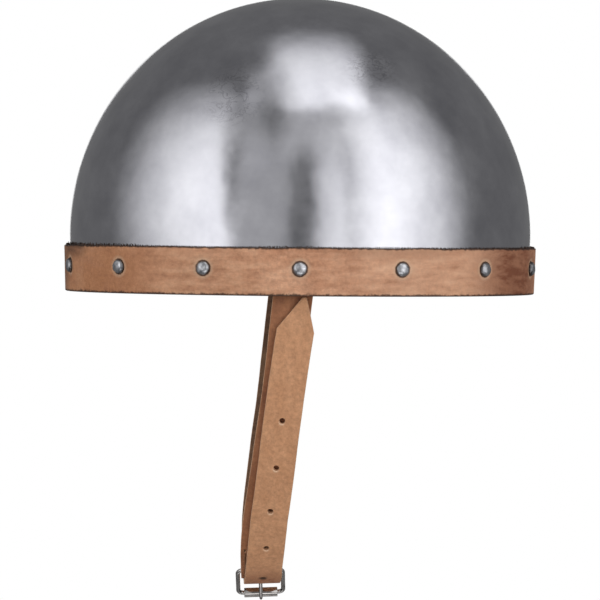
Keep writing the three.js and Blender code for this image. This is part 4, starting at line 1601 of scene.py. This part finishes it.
def stations_of(route: Route, longest: float, finest_turn: float) -> list[float]:
    """Distances at which a blank is sliced so that it bends smoothly.

    Args:
        route: The strap's middle line.
        longest: The most that may lie between two slices, in millimetres.
        finest_turn: The most that the strap may turn between two slices, in radians.

    Returns:
        The distances along the route.
    """
    cuts = []
    for start, length, bend in route.bends():
        steps = max(1, math.ceil(length / longest), math.ceil(abs(bend) * length / finest_turn))
        cuts += [start + length * step / steps for step in range(steps)]
    return [cut for cut in cuts if cut > 0]


@dataclass(frozen=True)
class BuckleStrap:
    """The strap from the wearer's left, folded round the buckle's back bar and stitched to itself."""

    plane: StrapPlane
    fold_back: float = 45.0
    fold_flat: float = 8.0
    slot_half: float = 1.6
    slot_reach: float = 1.2
    hole_radius: float = 1.6
    stitch_inset: float = 2.1
    stitch_radius: float = 0.5
    stitches: tuple[float, ...] = (9.0, 21.0, 39.0)
    thread_radius: float = 0.28
    end_corner: float = 2.5
    cuts: tuple[float, ...] = (-6.5, -3.2, 0.0, 3.2, 6.5)
    sway: Section = ((0, -1.7), (0.3, 0), (1, 0))

    def _route(self) -> tuple[Route, float, float]:
        """The strap's middle line, with where its fold round the bar starts and ends."""
        plane = self.plane
        half = plane.buckle_width / 2
        back = plane.chin_bend - 2 * plane.fold_radius
        layer = plane.chin_bend - plane.layer
        meet = (layer + back - self.fold_flat**2 / (layer - back)) / 2
        meet_turn = math.asin(self.fold_flat / (layer - meet))
        rest_turn = QUARTER_TURN - plane.side_turn - meet_turn
        used = self.fold_flat + meet * meet_turn + layer * rest_turn
        upper = plane.side_bend - plane.layer
        legs = [
            Leg(half + plane.drop), Leg(0, plane.side_bend, plane.side_turn),
            Leg(0, plane.chin_bend, QUARTER_TURN - plane.side_turn),
            Leg(0, plane.fold_radius, math.pi), Leg(self.fold_flat, meet, -meet_turn),
            Leg(0, layer, -rest_turn), Leg(0, upper, -(self.fold_back - used) / upper),
        ]
        route = Route(Station(-plane.side, half, -QUARTER_TURN), legs)
        fold_start = half + plane.drop + plane.side_bend * plane.side_turn
        fold_start += plane.chin_bend * (QUARTER_TURN - plane.side_turn)
        return route, fold_start, fold_start + plane.fold_radius * math.pi

    def _outline(self, length: float) -> list[Pair]:
        """The blank's outline: round at the rivet, with round corners at its folded end."""
        half, corner = self.plane.buckle_width / 2, self.end_corner
        middle = (length - corner, corner - half)
        turns = [angle - QUARTER_TURN for angle in quarter(4)]
        end = [(middle[0] + corner * math.cos(a), middle[1] + corner * math.sin(a)) for a in turns]
        return round_end(half) + end + [(along, -across) for along, across in reversed(end)]

    def _stitch_places(self, fold_start: float) -> list[Pair]:
        """Distance along and across the strap of each stitch hole in the outer layer."""
        side = self.plane.buckle_width / 2 - self.stitch_inset
        return [(fold_start - back, edge * side) for back in self.stitches for edge in (-1, 1)]

    def build(self, finishes: Finishes) -> None:
        """Cuts, bends and hangs the strap, then stitches its fold."""
        plane = self.plane
        route, fold_start, fold_end = self._route()
        half = plane.buckle_width / 2
        reach = plane.fold_radius + plane.thickness / 2 + self.slot_reach
        slot_middle = (fold_start + fold_end) / 2
        slot_half_length = (fold_end - fold_start) / 2 + reach

        def shift(along: float) -> float:
            """How far the strap stands to the back at a distance along it."""
            return eased(self.sway, along / route.length)

        holes = [
            oblong((half, -shift(half)), self.hole_radius, self.hole_radius),
            oblong((slot_middle, 0), slot_half_length, self.slot_half),
        ]
        holes += [
            oblong(place, self.stitch_radius + 0.35, self.stitch_radius, 10)
            for place in self._stitch_places(fold_start)
        ]
        bm = StrapBlank(self._outline(route.length), holes, plane.thickness).cut()
        slice_blank(bm, stations_of(route, 3.0, math.radians(7)), (1, 0, 0))
        slice_blank(bm, self.cuts, (0, 1, 0))
        plane.bend(bm, route, shift, 1.3, False)
        sides = [finishes.inner_strap, finishes.strap_flesh_painted_shade, finishes.strap_cut]
        finished("strap_with_buckle", bm, sides, "chin_strap", ["buckle_strap"], 50)
        self._stitch(finishes, route, fold_start)

    def _stitch(self, finishes: Finishes, route: Route, fold_start: float) -> None:
        """Runs a waxed thread along both edges of the fold.

        Args:
            finishes: The cap's finishes.
            route: The strap's middle line.
            fold_start: Where the fold round the bar starts.
        """
        plane = self.plane
        placement = plane.placement()
        bm = bmesh.new()
        outer = -plane.thickness / 2
        for edge in (-1, 1):
            across = edge * (plane.buckle_width / 2 - self.stitch_inset)
            for near, far in zip(self.stitches, self.stitches[1:]):
                points = []
                for share in (step / 10 for step in range(11)):
                    station = route.at(fold_start - (near + (far - near) * share))
                    dip = 0.9 * (abs(2 * share - 1) ** 6) - 0.12
                    points.append(placement @ plane.off_line(station, across, outer + dip))
                sizes = [(self.thread_radius * MM, self.thread_radius * MM)] * len(points)
                sweep(bm, frames_along(points, sizes, Vector((1, 0, 0)), False), 8, False)
        finished("fold_stitching", bm, [finishes.thread], "chin_strap", (), 60)


@dataclass(frozen=True)
class HoledStrap:
    """The strap from the wearer's right, holed, under the bar and up the outside to its tip."""

    plane: StrapPlane
    tip_rise: float = 0.2
    tip_length: float = 16.5
    tip_half_width: float = 1.2
    tip_blunt: float = 0.6
    tip_skew: float = 1.9
    hole_radius: float = 1.35
    hole_pitch: float = 24.2
    hole_shares: tuple[float, ...] = (1, 2.1, 3.1, 4.1, 5.1)
    prong_crossing: float = 2.65
    rivet_hole_radius: float = 1.6
    prong_slot: Pair = (3.9, 1.55)
    cuts: tuple[float, ...] = (-6.3, -3.0, 0.0, 3.0, 6.3)
    sway: Section = (
        (0, -2.6), (0.25, -0.4), (0.54, 0.6), (0.565, 0.6), (0.71, 3.2), (0.88, 1.9), (1, 2.4)
    )

    def _route(self) -> tuple[Route, float, float]:
        """The strap's middle line, where it passes the back bar and its level run before that."""
        plane = self.plane
        half = plane.holed_width / 2
        depth = plane.layer - plane.fold_bottom
        far_bend = plane.far_share * plane.side
        bottom = plane.side - far_bend - plane.back_bar[0]
        below = plane.bowl.rivet_height - self.tip_rise
        legs = [
            Leg(half + depth - far_bend), Leg(0, far_bend, -QUARTER_TURN), Leg(bottom),
            Leg(0, plane.chin_bend + plane.layer, plane.side_turn - QUARTER_TURN),
            Leg(0, plane.side_bend + plane.layer, -plane.side_turn),
            Leg(plane.drop - below / math.cos(plane.slant)),
        ]
        bar = half + depth - far_bend + far_bend * QUARTER_TURN + bottom
        return Route(Station(plane.side, half, -QUARTER_TURN), legs), bar, bottom

    def _outline(self, length: float) -> list[Pair]:
        """The blank's outline: round at the rivet and pointed at its tip."""
        half = self.plane.holed_width / 2
        tip = [(length - self.tip_length, -half), (length - self.tip_blunt, -self.tip_half_width)]
        tip.append((length, -self.tip_blunt / 2))
        return round_end(half) + tip + [(along, -across) for along, across in reversed(tip)]

    def _marks(
        self, route: Route, shift: Callable[[float], float], punched: Sequence[float]
    ) -> tuple[ColourPatch, ...]:
        """Painted shade in the lowest hole and where the strap curves under by the buckle, painted
        highlights under the others.

        Args:
            route: The strap's middle line.
            shift: How far the strap stands to the back at a distance along it.
            punched: The distance along the strap of each hole.

        Returns:
            The marks, placed in the frame, with the lowest hole's painted shade first.
        """
        placement = self.plane.placement()

        def face_at(along: float) -> Place:
            """The middle of the outer face at a distance along the strap, in millimetres."""
            stand = self.plane.thickness / 2
            point = placement @ self.plane.off_line(route.at(along), shift(along), stand)
            return tuple(point / MM)

        # Painted highlights on the lower rim of each hole above the lowest
        painted_rim_highlights = [
            ColourPatch(face_at(along - self.hole_radius * 0.6), (1.9, 1.9, 1.9), "#EED2B4", 0.9)
            for along in punched[1:]
        ]
        # Painted shade where the strap curves under to face down, by the buckle
        ragged_patch = ColourPatch(face_at(punched[0] - self.hole_pitch / 2), (24, 30, 26), "#80472A", 0.75)
        # Painted shade in and round the lowest hole
        painted_hole_shade = ColourPatch(face_at(punched[0]), (3.0, 3.4, 3.4), "#2A140C", 1.0)
        return (painted_hole_shade, ragged_patch, *painted_rim_highlights)

    def build(self, finishes: Finishes) -> None:
        """Cuts, bends and hangs the strap."""
        plane = self.plane
        route, bar, bottom = self._route()
        half, length = plane.holed_width / 2, route.length

        def shift(along: float) -> float:
            """How far the strap stands to the back at a distance along it."""
            pointed = max(0.0, 1 - (length - along) / self.tip_length)
            return eased(self.sway, along / length) + self.tip_skew * min(1.0, pointed)

        first = bar - bottom / 2
        punched = [first + self.hole_pitch * share for share in self.hole_shares]
        held = bar - self.prong_crossing
        rivet_hole = self.rivet_hole_radius
        holes = [oblong((half, -shift(half)), rivet_hole, rivet_hole)]
        holes.append(oblong((held, -shift(held)), *self.prong_slot))
        holes += [oblong((along, 0), self.hole_radius, self.hole_radius) for along in punched]
        bm = StrapBlank(self._outline(length), holes, plane.thickness).cut()
        slice_blank(bm, stations_of(route, 3.0, math.radians(6)), (1, 0, 0))
        slice_blank(bm, self.cuts, (0, 1, 0))
        plane.bend(bm, route, shift, 7.9, True)
        marks = self._marks(route, shift, punched)
        sides = [finishes.marked_strap((*marks[1:], marks[0])), finishes.strap_flesh_painted_shade]
        sides.append(finishes.strap_edge("holed_strap_cut_edge", marks[:1]))
        finished("strap_with_holes", bm, sides, "chin_strap", ["holed_strap"], 50)


# Buckle


@dataclass(frozen=True)
class Buckle:
    """The roller buckle: a bent wire frame, a rolled sleeve on its front bar and a flat prong."""

    plane: StrapPlane
    inside_width: float = 20.2
    length: float = 19.0
    corner: float = 2.6
    tilt: float = math.radians(49)
    roller_radius: float = 2.4
    roller_end_gap: float = 0.3
    roller_wall: float = 0.9
    prong_width: float = 1.9
    prong_thickness: float = 1.5
    prong_bar_gap: float = 0.1
    prong_rest_gap: float = 0.15
    prong_overhang: float = 1.8
    prong_wrap: float = math.radians(290)
    prong_blunt: float = 1.2
    prong_taper: float = 9.0
    sleeve_seam: float = math.radians(7)
    sleeve_ease: float = 0.2

    def placement(self) -> Matrix:
        """Carries a point about the back bar, in millimetres, into the frame."""
        plane = self.plane
        return (
            plane.placement()
            @ Matrix.Translation(plane.hung(0, *plane.back_bar))
            @ Matrix.Rotation(-plane.hang_turn, 4, "Y")
            @ Matrix.Rotation(self.tilt, 4, "X")
        )

    def _frame(self, bm: BMesh) -> None:
        """Bends the wire: four runs, with a quarter spin at each corner."""
        wire = self.plane.wire_radius
        half = self.inside_width / 2 + wire
        ring = bmesh.ops.create_circle(bm, cap_ends=False, segments=16, radius=wire)["verts"]
        edges = edges_of(ring)
        start = Matrix.Translation((self.corner - half, 0, 0))
        start = start @ Matrix.Rotation(QUARTER_TURN, 4, "Y")
        bmesh.ops.transform(bm, matrix=start, verts=ring)
        ways = [Vector((1, 0, 0)), Vector((0, 0, -1)), Vector((-1, 0, 0)), Vector((0, 0, 1))]
        runs = [2 * (half - self.corner), self.length - 2 * self.corner] * 2
        corner = Vector((self.corner - half, 0, 0))
        for index, (way, run) in enumerate(zip(ways, runs)):
            ring, edges = parted(bmesh.ops.extrude_edge_only(bm, edges=edges)["geom"])
            bmesh.ops.translate(bm, vec=way * run, verts=ring)
            corner += way * run
            turn = ways[(index + 1) % 4]
            bent = bmesh.ops.spin(
                bm, geom=[*ring, *edges], cent=corner + turn * self.corner, axis=(0, 1, 0),
                angle=QUARTER_TURN, steps=8,
            )
            ring, edges = parted(bent["geom_last"])
            corner += (way + turn) * self.corner
        close_up(bm, 1e-3)

    def _roller(self, bm: BMesh) -> None:
        """Rolls a sleeve of sheet about the front bar, with an open seam at the back."""
        half = self.inside_width / 2 + self.plane.wire_radius - self.corner - self.roller_end_gap
        seam = self.sleeve_seam
        ends = [bm.verts.new((x, 0, self.roller_radius)) for x in (-half, half)]
        edge = bm.edges.new(ends)
        bmesh.ops.subdivide_edges(bm, edges=[edge], cuts=3)
        bmesh.ops.rotate(
            bm, verts=bm.verts[:], cent=(0, 0, 0),
            matrix=Matrix.Rotation(seam / 2 + QUARTER_TURN, 3, "X"),
        )
        bmesh.ops.spin(
            bm, geom=[*bm.verts, *bm.edges], cent=(0, 0, 0), axis=(1, 0, 0), angle=FULL_TURN - seam,
            steps=40,
        )
        bmesh.ops.recalc_face_normals(bm, faces=bm.faces[:])
        outward = bm.faces[:][0]
        middle = outward.calc_center_median()
        if outward.normal.dot(Vector((0, middle.y, middle.z))) < 0:
            bmesh.ops.reverse_faces(bm, faces=bm.faces[:])
        bmesh.ops.solidify(bm, geom=bm.faces[:], thickness=self.roller_wall)
        ease_rims(bm, self.sleeve_ease, 2)
        bmesh.ops.translate(bm, vec=(0, 0, -self.length), verts=bm.verts[:])

    def _prong(self, bm: BMesh) -> None:
        """Forges the prong: a flat pin that lies on the roller and wraps the back bar."""
        wrap = self.plane.wire_radius + self.prong_bar_gap + self.prong_thickness / 2
        rest = self.roller_radius + self.prong_rest_gap + self.prong_thickness / 2
        rise = math.asin((rest - wrap) / self.length)
        arm = self.length * math.cos(rise)
        start = Station(
            -rest * math.cos(rise) - self.prong_overhang * math.sin(rise),
            rest * math.sin(rise) - self.length - self.prong_overhang * math.cos(rise),
            QUARTER_TURN - rise,
        )
        route = Route(start, [Leg(arm + self.prong_overhang), Leg(0, wrap, -self.prong_wrap)])
        runs = [0.0, 0.15, 0.5, 1.2, 3.0, 6.0, 9.0, 12.0, 15.0, 18.0]
        bend_start = arm + self.prong_overhang
        bends = [bend_start + wrap * self.prong_wrap * step / 28 for step in range(29)]
        alongs = [*runs, *bends]
        points, sizes = [], []
        for along in alongs:
            station = route.at(along)
            points.append(Vector((0, station.y, station.z)))
            blunt = math.sqrt(min(1.0, (along + 0.08) / self.prong_blunt))
            taper = 0.82 + 0.18 * min(1.0, along / self.prong_taper)
            width = self.prong_width / 2 * taper * blunt
            sizes.append((width, self.prong_thickness / 2 * blunt))
        sweep(bm, frames_along(points, sizes, Vector((1, 0, 0)), False), 14, False)

    def build(self, finishes: Finishes) -> None:
        """Makes the frame, the roller and the prong."""
        for name, make, body in (
            ("wire_frame", self._frame, "buckle_frame"),
            ("rolled_sleeve", self._roller, "buckle_roller"),
            ("flat_prong", self._prong, "buckle_prong"),
        ):
            bm = bmesh.new()
            make(bm)
            bmesh.ops.transform(bm, matrix=self.placement(), verts=bm.verts[:])
            bmesh.ops.recalc_face_normals(bm, faces=bm.faces[:])
            finished(name, bm, [finishes.buckle], body, [body], 40)


# Studio


@dataclass(frozen=True)
class Lamp:
    """A studio lamp by its direction from the cap, its distance, its size and its face's brightness."""

    name: str
    azimuth: float
    elevation: float
    distance: float
    size: Pair
    radiance: float


@dataclass(frozen=True)
class SoftBox:
    """A large cloth box as metal reflects it, fading out towards its edges.

    The lean turns its top to the left by so many degrees, and the lift then moves it up in its own
    plane. The feather holds how much of it fades at its left, right, lower and upper edge.
    """

    name: str
    azimuth: float
    elevation: float
    distance: float
    lean: float
    lift: float
    size: Pair
    radiance: float
    feather: tuple[float, float, float, float]


class Studio:
    """Lamps, world, soft boxes, pale floor, backdrop and camera."""

    lamps = (
        Lamp("key_lamp", 40, 14, 1.5, (0.7, 0.9), 3.3),
        Lamp("fill_lamp", -52, 4, 1.5, (0.8, 1.0), 1.3),
        Lamp("top_lamp", 8, 72, 1.35, (0.75, 0.85), 1.5),
        Lamp("rear_left_lamp", -158, 10, 1.6, (0.25, 1.2), 0.9),
        Lamp("rear_right_lamp", 158, 10, 1.6, (0.25, 1.2), 0.9),
    )
    boxes = (
        SoftBox("left_soft_box", -64, 4, 1.5, 18, 0.85, (2.15, 3.3), 1.45, (0.9, 0.12, 0.1, 0.75)),
        SoftBox("right_soft_box", 47, 4, 1.5, -6, 1.1, (2.5, 3.8), 1.55, (0.4, 0.64, 0.1, 0.66)),
        SoftBox("top_soft_box", 19, 68, 1.6, -9, 0.47, (1.18, 1.9), 1.35, (0.34, 0.25, 0.12, 0.88)),
        SoftBox("low_soft_box", 0, -38, 1.5, 0, 0.0, (2.0, 0.7), 1.5, (0.3, 0.3, 0.3, 0.3)),
        SoftBox("under_card", 0, -88, 1.2, 0, 0.0, (0.8, 0.55), 0.9, (0.2, 0.2, 0.2, 0.2)),
        SoftBox("left_card", -18, 4, 1.9, 0, 0.5, (0.9, 2.6), 0.36, (0.16, 0.03, 0.1, 0.35)),
        SoftBox("upper_left_card", -16.5, 4, 1.9, 16, 2.1, (0.85, 3.4), 0.22, (0.3, 0.2, 0.4, 0.3)),
        SoftBox("right_card", 12, 4, 1.9, 0, 0.4, (0.56, 2.4), 0.8, (0.3, 0.3, 0.1, 0.45)),
        SoftBox("centre_card", 4, 4, 1.9, 0, 1.8, (1.2, 1.9), 0.4, (0.3, 0.3, 0.3, 0.1)),
        SoftBox("crown_card", -35, 64, 1.7, 25, 0.0, (0.5, 0.95), 0.27, (0.4, 0.4, 0.35, 0.35)),
    )
    floor_height = -0.36
    floor_radius = 1.7
    floor_glow = 0.35
    board_size = 0.62
    board_distance = 0.95
    room_radius = 5.0
    world_level = 0.55
    wall_level = 0.175

    @staticmethod
    def _direction(azimuth: float, elevation: float) -> Vector:
        """The way from the cap to a lamp, its azimuth from the camera round to the cap's back."""
        a, e = math.radians(azimuth), math.radians(elevation)
        return Vector((math.sin(a) * math.cos(e), -math.cos(a) * math.cos(e), math.sin(e)))

    def _lamps(self) -> None:
        """Hangs the lamps, each aimed at the cap and left out of reflections."""
        for lamp in self.lamps:
            data = bpy.data.lights.new(lamp.name, "AREA")
            data.shape = "RECTANGLE"
            data.size, data.size_y = lamp.size
            data.energy = lamp.radiance * math.pi * lamp.size[0] * lamp.size[1]
            hung = bpy.data.objects.new(lamp.name, data)
            way = self._direction(lamp.azimuth, lamp.elevation)
            hung.location = way * lamp.distance
            hung.rotation_euler = way.to_track_quat("Z", "Y").to_euler()
            hung.visible_camera = hung.visible_glossy = False
            bpy.context.scene.collection.objects.link(hung)

    def _world(self) -> None:
        """A white background for the camera and for reflections, at a plain level for the rest."""
        world = bpy.data.worlds.new("studio_white")
        world.use_nodes = True
        tree = world.node_tree
        tree.nodes.clear()
        path = add_node(tree, "ShaderNodeLightPath")
        seen = path.outputs["Is Camera Ray"]
        for other in ("Is Glossy Ray", "Is Transmission Ray"):
            seen = add_node(
                tree, "ShaderNodeMath", {"operation": "MAXIMUM"}, {0: seen, 1: path.outputs[other]}
            ).outputs[0]
        level = add_node(
            tree, "ShaderNodeMapRange", {"To Min": self.world_level, "To Max": 1.0}, {"Value": seen}
        ).outputs["Result"]
        background = add_node(tree, "ShaderNodeBackground", {"Color": grey(1)}, {"Strength": level})
        add_node(tree, "ShaderNodeOutputWorld", links={"Surface": background.outputs[0]})
        bpy.context.scene.world = world

    def _glow(self, name: str, level: float) -> Material:
        """A card's plain glow."""
        material, tree = new_material(name)
        glow = add_node(tree, "ShaderNodeEmission", {"Color": grey(1), "Strength": level})
        add_node(tree, "ShaderNodeOutputMaterial", links={"Surface": glow.outputs[0]})
        return material

    @staticmethod
    def _stage(name: str, bm: BMesh, material: Material) -> Object:
        """Links a mesh as part of the stage."""
        piece = linked(name, bm, [material])
        return piece

    def _only_reflected(self, piece: Object) -> None:
        """Leaves a card to be seen in reflections alone."""
        piece.visible_camera = piece.visible_shadow = False
        piece.visible_diffuse = piece.visible_transmission = False

    def _walls(self) -> None:
        """Grey walls round the studio, which give the polished steel its dark sides."""
        bm = bmesh.new()
        bmesh.ops.create_uvsphere(bm, u_segments=48, v_segments=24, radius=self.room_radius)
        walls = self._stage("studio_walls", bm, self._glow("grey_wall", self.wall_level))
        self._only_reflected(walls)

    def _cloth(self, box: SoftBox) -> Material:
        """A soft box's glowing cloth, which fades towards its edges."""
        material, tree = new_material(f"{box.name}_cloth")
        place = add_node(tree, "ShaderNodeTexCoord").outputs["UV"]
        parts = add_node(tree, "ShaderNodeSeparateXYZ", links={"Vector": place})
        level: NodeSocket | None = None
        for axis, (low, high) in (("X", box.feather[:2]), ("Y", box.feather[2:])):
            for start, end in ((0.0, low), (1.0, 1.0 - high)):
                fade = add_node(
                    tree, "ShaderNodeMapRange",
                    {"interpolation_type": "SMOOTHSTEP", "From Min": start, "From Max": end},
                    {"Value": parts.outputs[axis]},
                ).outputs["Result"]
                if level is not None:
                    fade = add_node(
                        tree, "ShaderNodeMath", {"operation": "MULTIPLY"}, {0: level, 1: fade}
                    ).outputs[0]
                level = fade
        lit = add_node(
            tree, "ShaderNodeMath", {"operation": "MULTIPLY", 1: box.radiance}, {0: level}
        ).outputs[0]
        glow = add_node(tree, "ShaderNodeEmission", {"Color": grey(1)}, {"Strength": lit})
        clear = add_node(tree, "ShaderNodeBsdfTransparent")
        both = add_node(
            tree, "ShaderNodeAddShader", links={0: glow.outputs[0], 1: clear.outputs[0]}
        )
        add_node(tree, "ShaderNodeOutputMaterial", links={"Surface": both.outputs[0]})
        return material

    def _boxes(self) -> None:
        """Stands the soft boxes and cards where the steel reflects them."""
        for box in self.boxes:
            bm = bmesh.new()
            bm.loops.layers.uv.new()
            bmesh.ops.create_grid(bm, x_segments=1, y_segments=1, size=0.5, calc_uvs=True)
            bmesh.ops.scale(bm, vec=(*box.size, 1), verts=bm.verts[:])
            way = self._direction(box.azimuth, box.elevation)
            turn = way.to_track_quat("Z", "Y").to_matrix().to_4x4()
            place = Matrix.Translation(way * box.distance) @ turn
            place = place @ Matrix.Rotation(math.radians(box.lean), 4, "Z")
            place = place @ Matrix.Translation((0, box.lift, 0))
            bmesh.ops.transform(bm, matrix=place, verts=bm.verts[:])
            self._only_reflected(self._stage(box.name, bm, self._cloth(box)))

    def _backdrop(self) -> None:
        """A white board behind the cap, which gives the steel its thin light rim."""
        bm = bmesh.new()
        bmesh.ops.create_grid(bm, x_segments=1, y_segments=1, size=self.board_size / 2)
        stand = Matrix.Rotation(QUARTER_TURN, 4, "X")
        place = Matrix.Translation((0, self.board_distance, 0)) @ stand
        bmesh.ops.transform(bm, matrix=place, verts=bm.verts[:])
        board = self._stage("white_backdrop", bm, self._glow("white_board", 1.0))
        board.visible_camera = board.visible_shadow = board.visible_diffuse = False

    def _floor(self) -> None:
        """A pale round floor that keeps the cap's shadow, and that is clear when seen from below."""
        bm = bmesh.new()
        bmesh.ops.create_circle(bm, cap_ends=True, segments=96, radius=self.floor_radius)
        bmesh.ops.translate(bm, vec=(0, 0, self.floor_height), verts=bm.verts[:])
        material, tree = new_material("pale_studio_floor")
        paper = add_node(tree, "ShaderNodeBsdfDiffuse", {"Color": linear("#F2F2F2")})
        path = add_node(tree, "ShaderNodeLightPath")
        level = add_node(
            tree, "ShaderNodeMath", {"operation": "MULTIPLY", 1: self.floor_glow},
            {0: path.outputs["Is Camera Ray"]},
        ).outputs[0]
        glow = add_node(tree, "ShaderNodeEmission", {"Color": grey(1)}, {"Strength": level})
        both = add_node(
            tree, "ShaderNodeAddShader", links={0: paper.outputs[0], 1: glow.outputs[0]}
        )
        clear = add_node(tree, "ShaderNodeBsdfTransparent")
        under = add_node(tree, "ShaderNodeNewGeometry").outputs["Backfacing"]
        sheet = add_node(
            tree, "ShaderNodeMixShader", links={0: under, 1: both.outputs[0], 2: clear.outputs[0]}
        )
        add_node(tree, "ShaderNodeOutputMaterial", links={"Surface": sheet.outputs[0]})
        floor = self._stage("pale_floor", bm, material)
        floor.visible_glossy = False

    def _camera(self) -> None:
        """Stands the camera where the photograph was taken from."""
        distance, wide = 2.0, 0.3
        yaw, pitch, roll = math.radians(0.9), math.radians(1.256), math.radians(0.5)
        data = bpy.data.cameras.new("photo_camera")
        data.sensor_width = 36
        data.lens = 36 * distance / wide
        data.clip_start, data.clip_end = 0.1, 50
        camera = bpy.data.objects.new("photo_camera", data)
        target = Vector((0.0002, 0, -0.0039))
        level = math.cos(pitch)
        back = Vector((-math.sin(yaw) * level, -math.cos(yaw) * level, math.sin(pitch)))
        camera.location = target + back * distance
        turn = back.to_track_quat("Z", "Y").to_matrix().to_4x4()
        camera.rotation_euler = (turn @ Matrix.Rotation(roll, 4, "Z")).to_euler()
        bpy.context.scene.collection.objects.link(camera)
        bpy.context.scene.camera = camera

    def build(self) -> None:
        """Sets the stage."""
        bpy.context.scene.view_settings.view_transform = "Standard"
        self._lamps()
        self._world()
        self._walls()
        self._boxes()
        self._backdrop()
        self._floor()
        self._camera()
        log.info("studio set")


def main() -> None:
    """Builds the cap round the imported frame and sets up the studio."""
    logging.basicConfig(level=logging.INFO, format="%(name)s: %(message)s")
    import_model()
    finishes = Finishes()
    bowl = Bowl()
    band = RimBand(bowl)
    rivets = Rivets(bowl, band)
    lining = Lining(bowl)
    plane = StrapPlane(bowl)
    bowl.build(finishes)
    band.build(finishes, rivets.angles)
    rivets.build(finishes)
    lining.build(finishes)
    CrownLace(lining).build(finishes)
    BuckleStrap(plane).build(finishes)
    HoledStrap(plane).build(finishes)
    Buckle(plane).build(finishes)
    Studio().build()


if __name__ == "__main__":
    main()
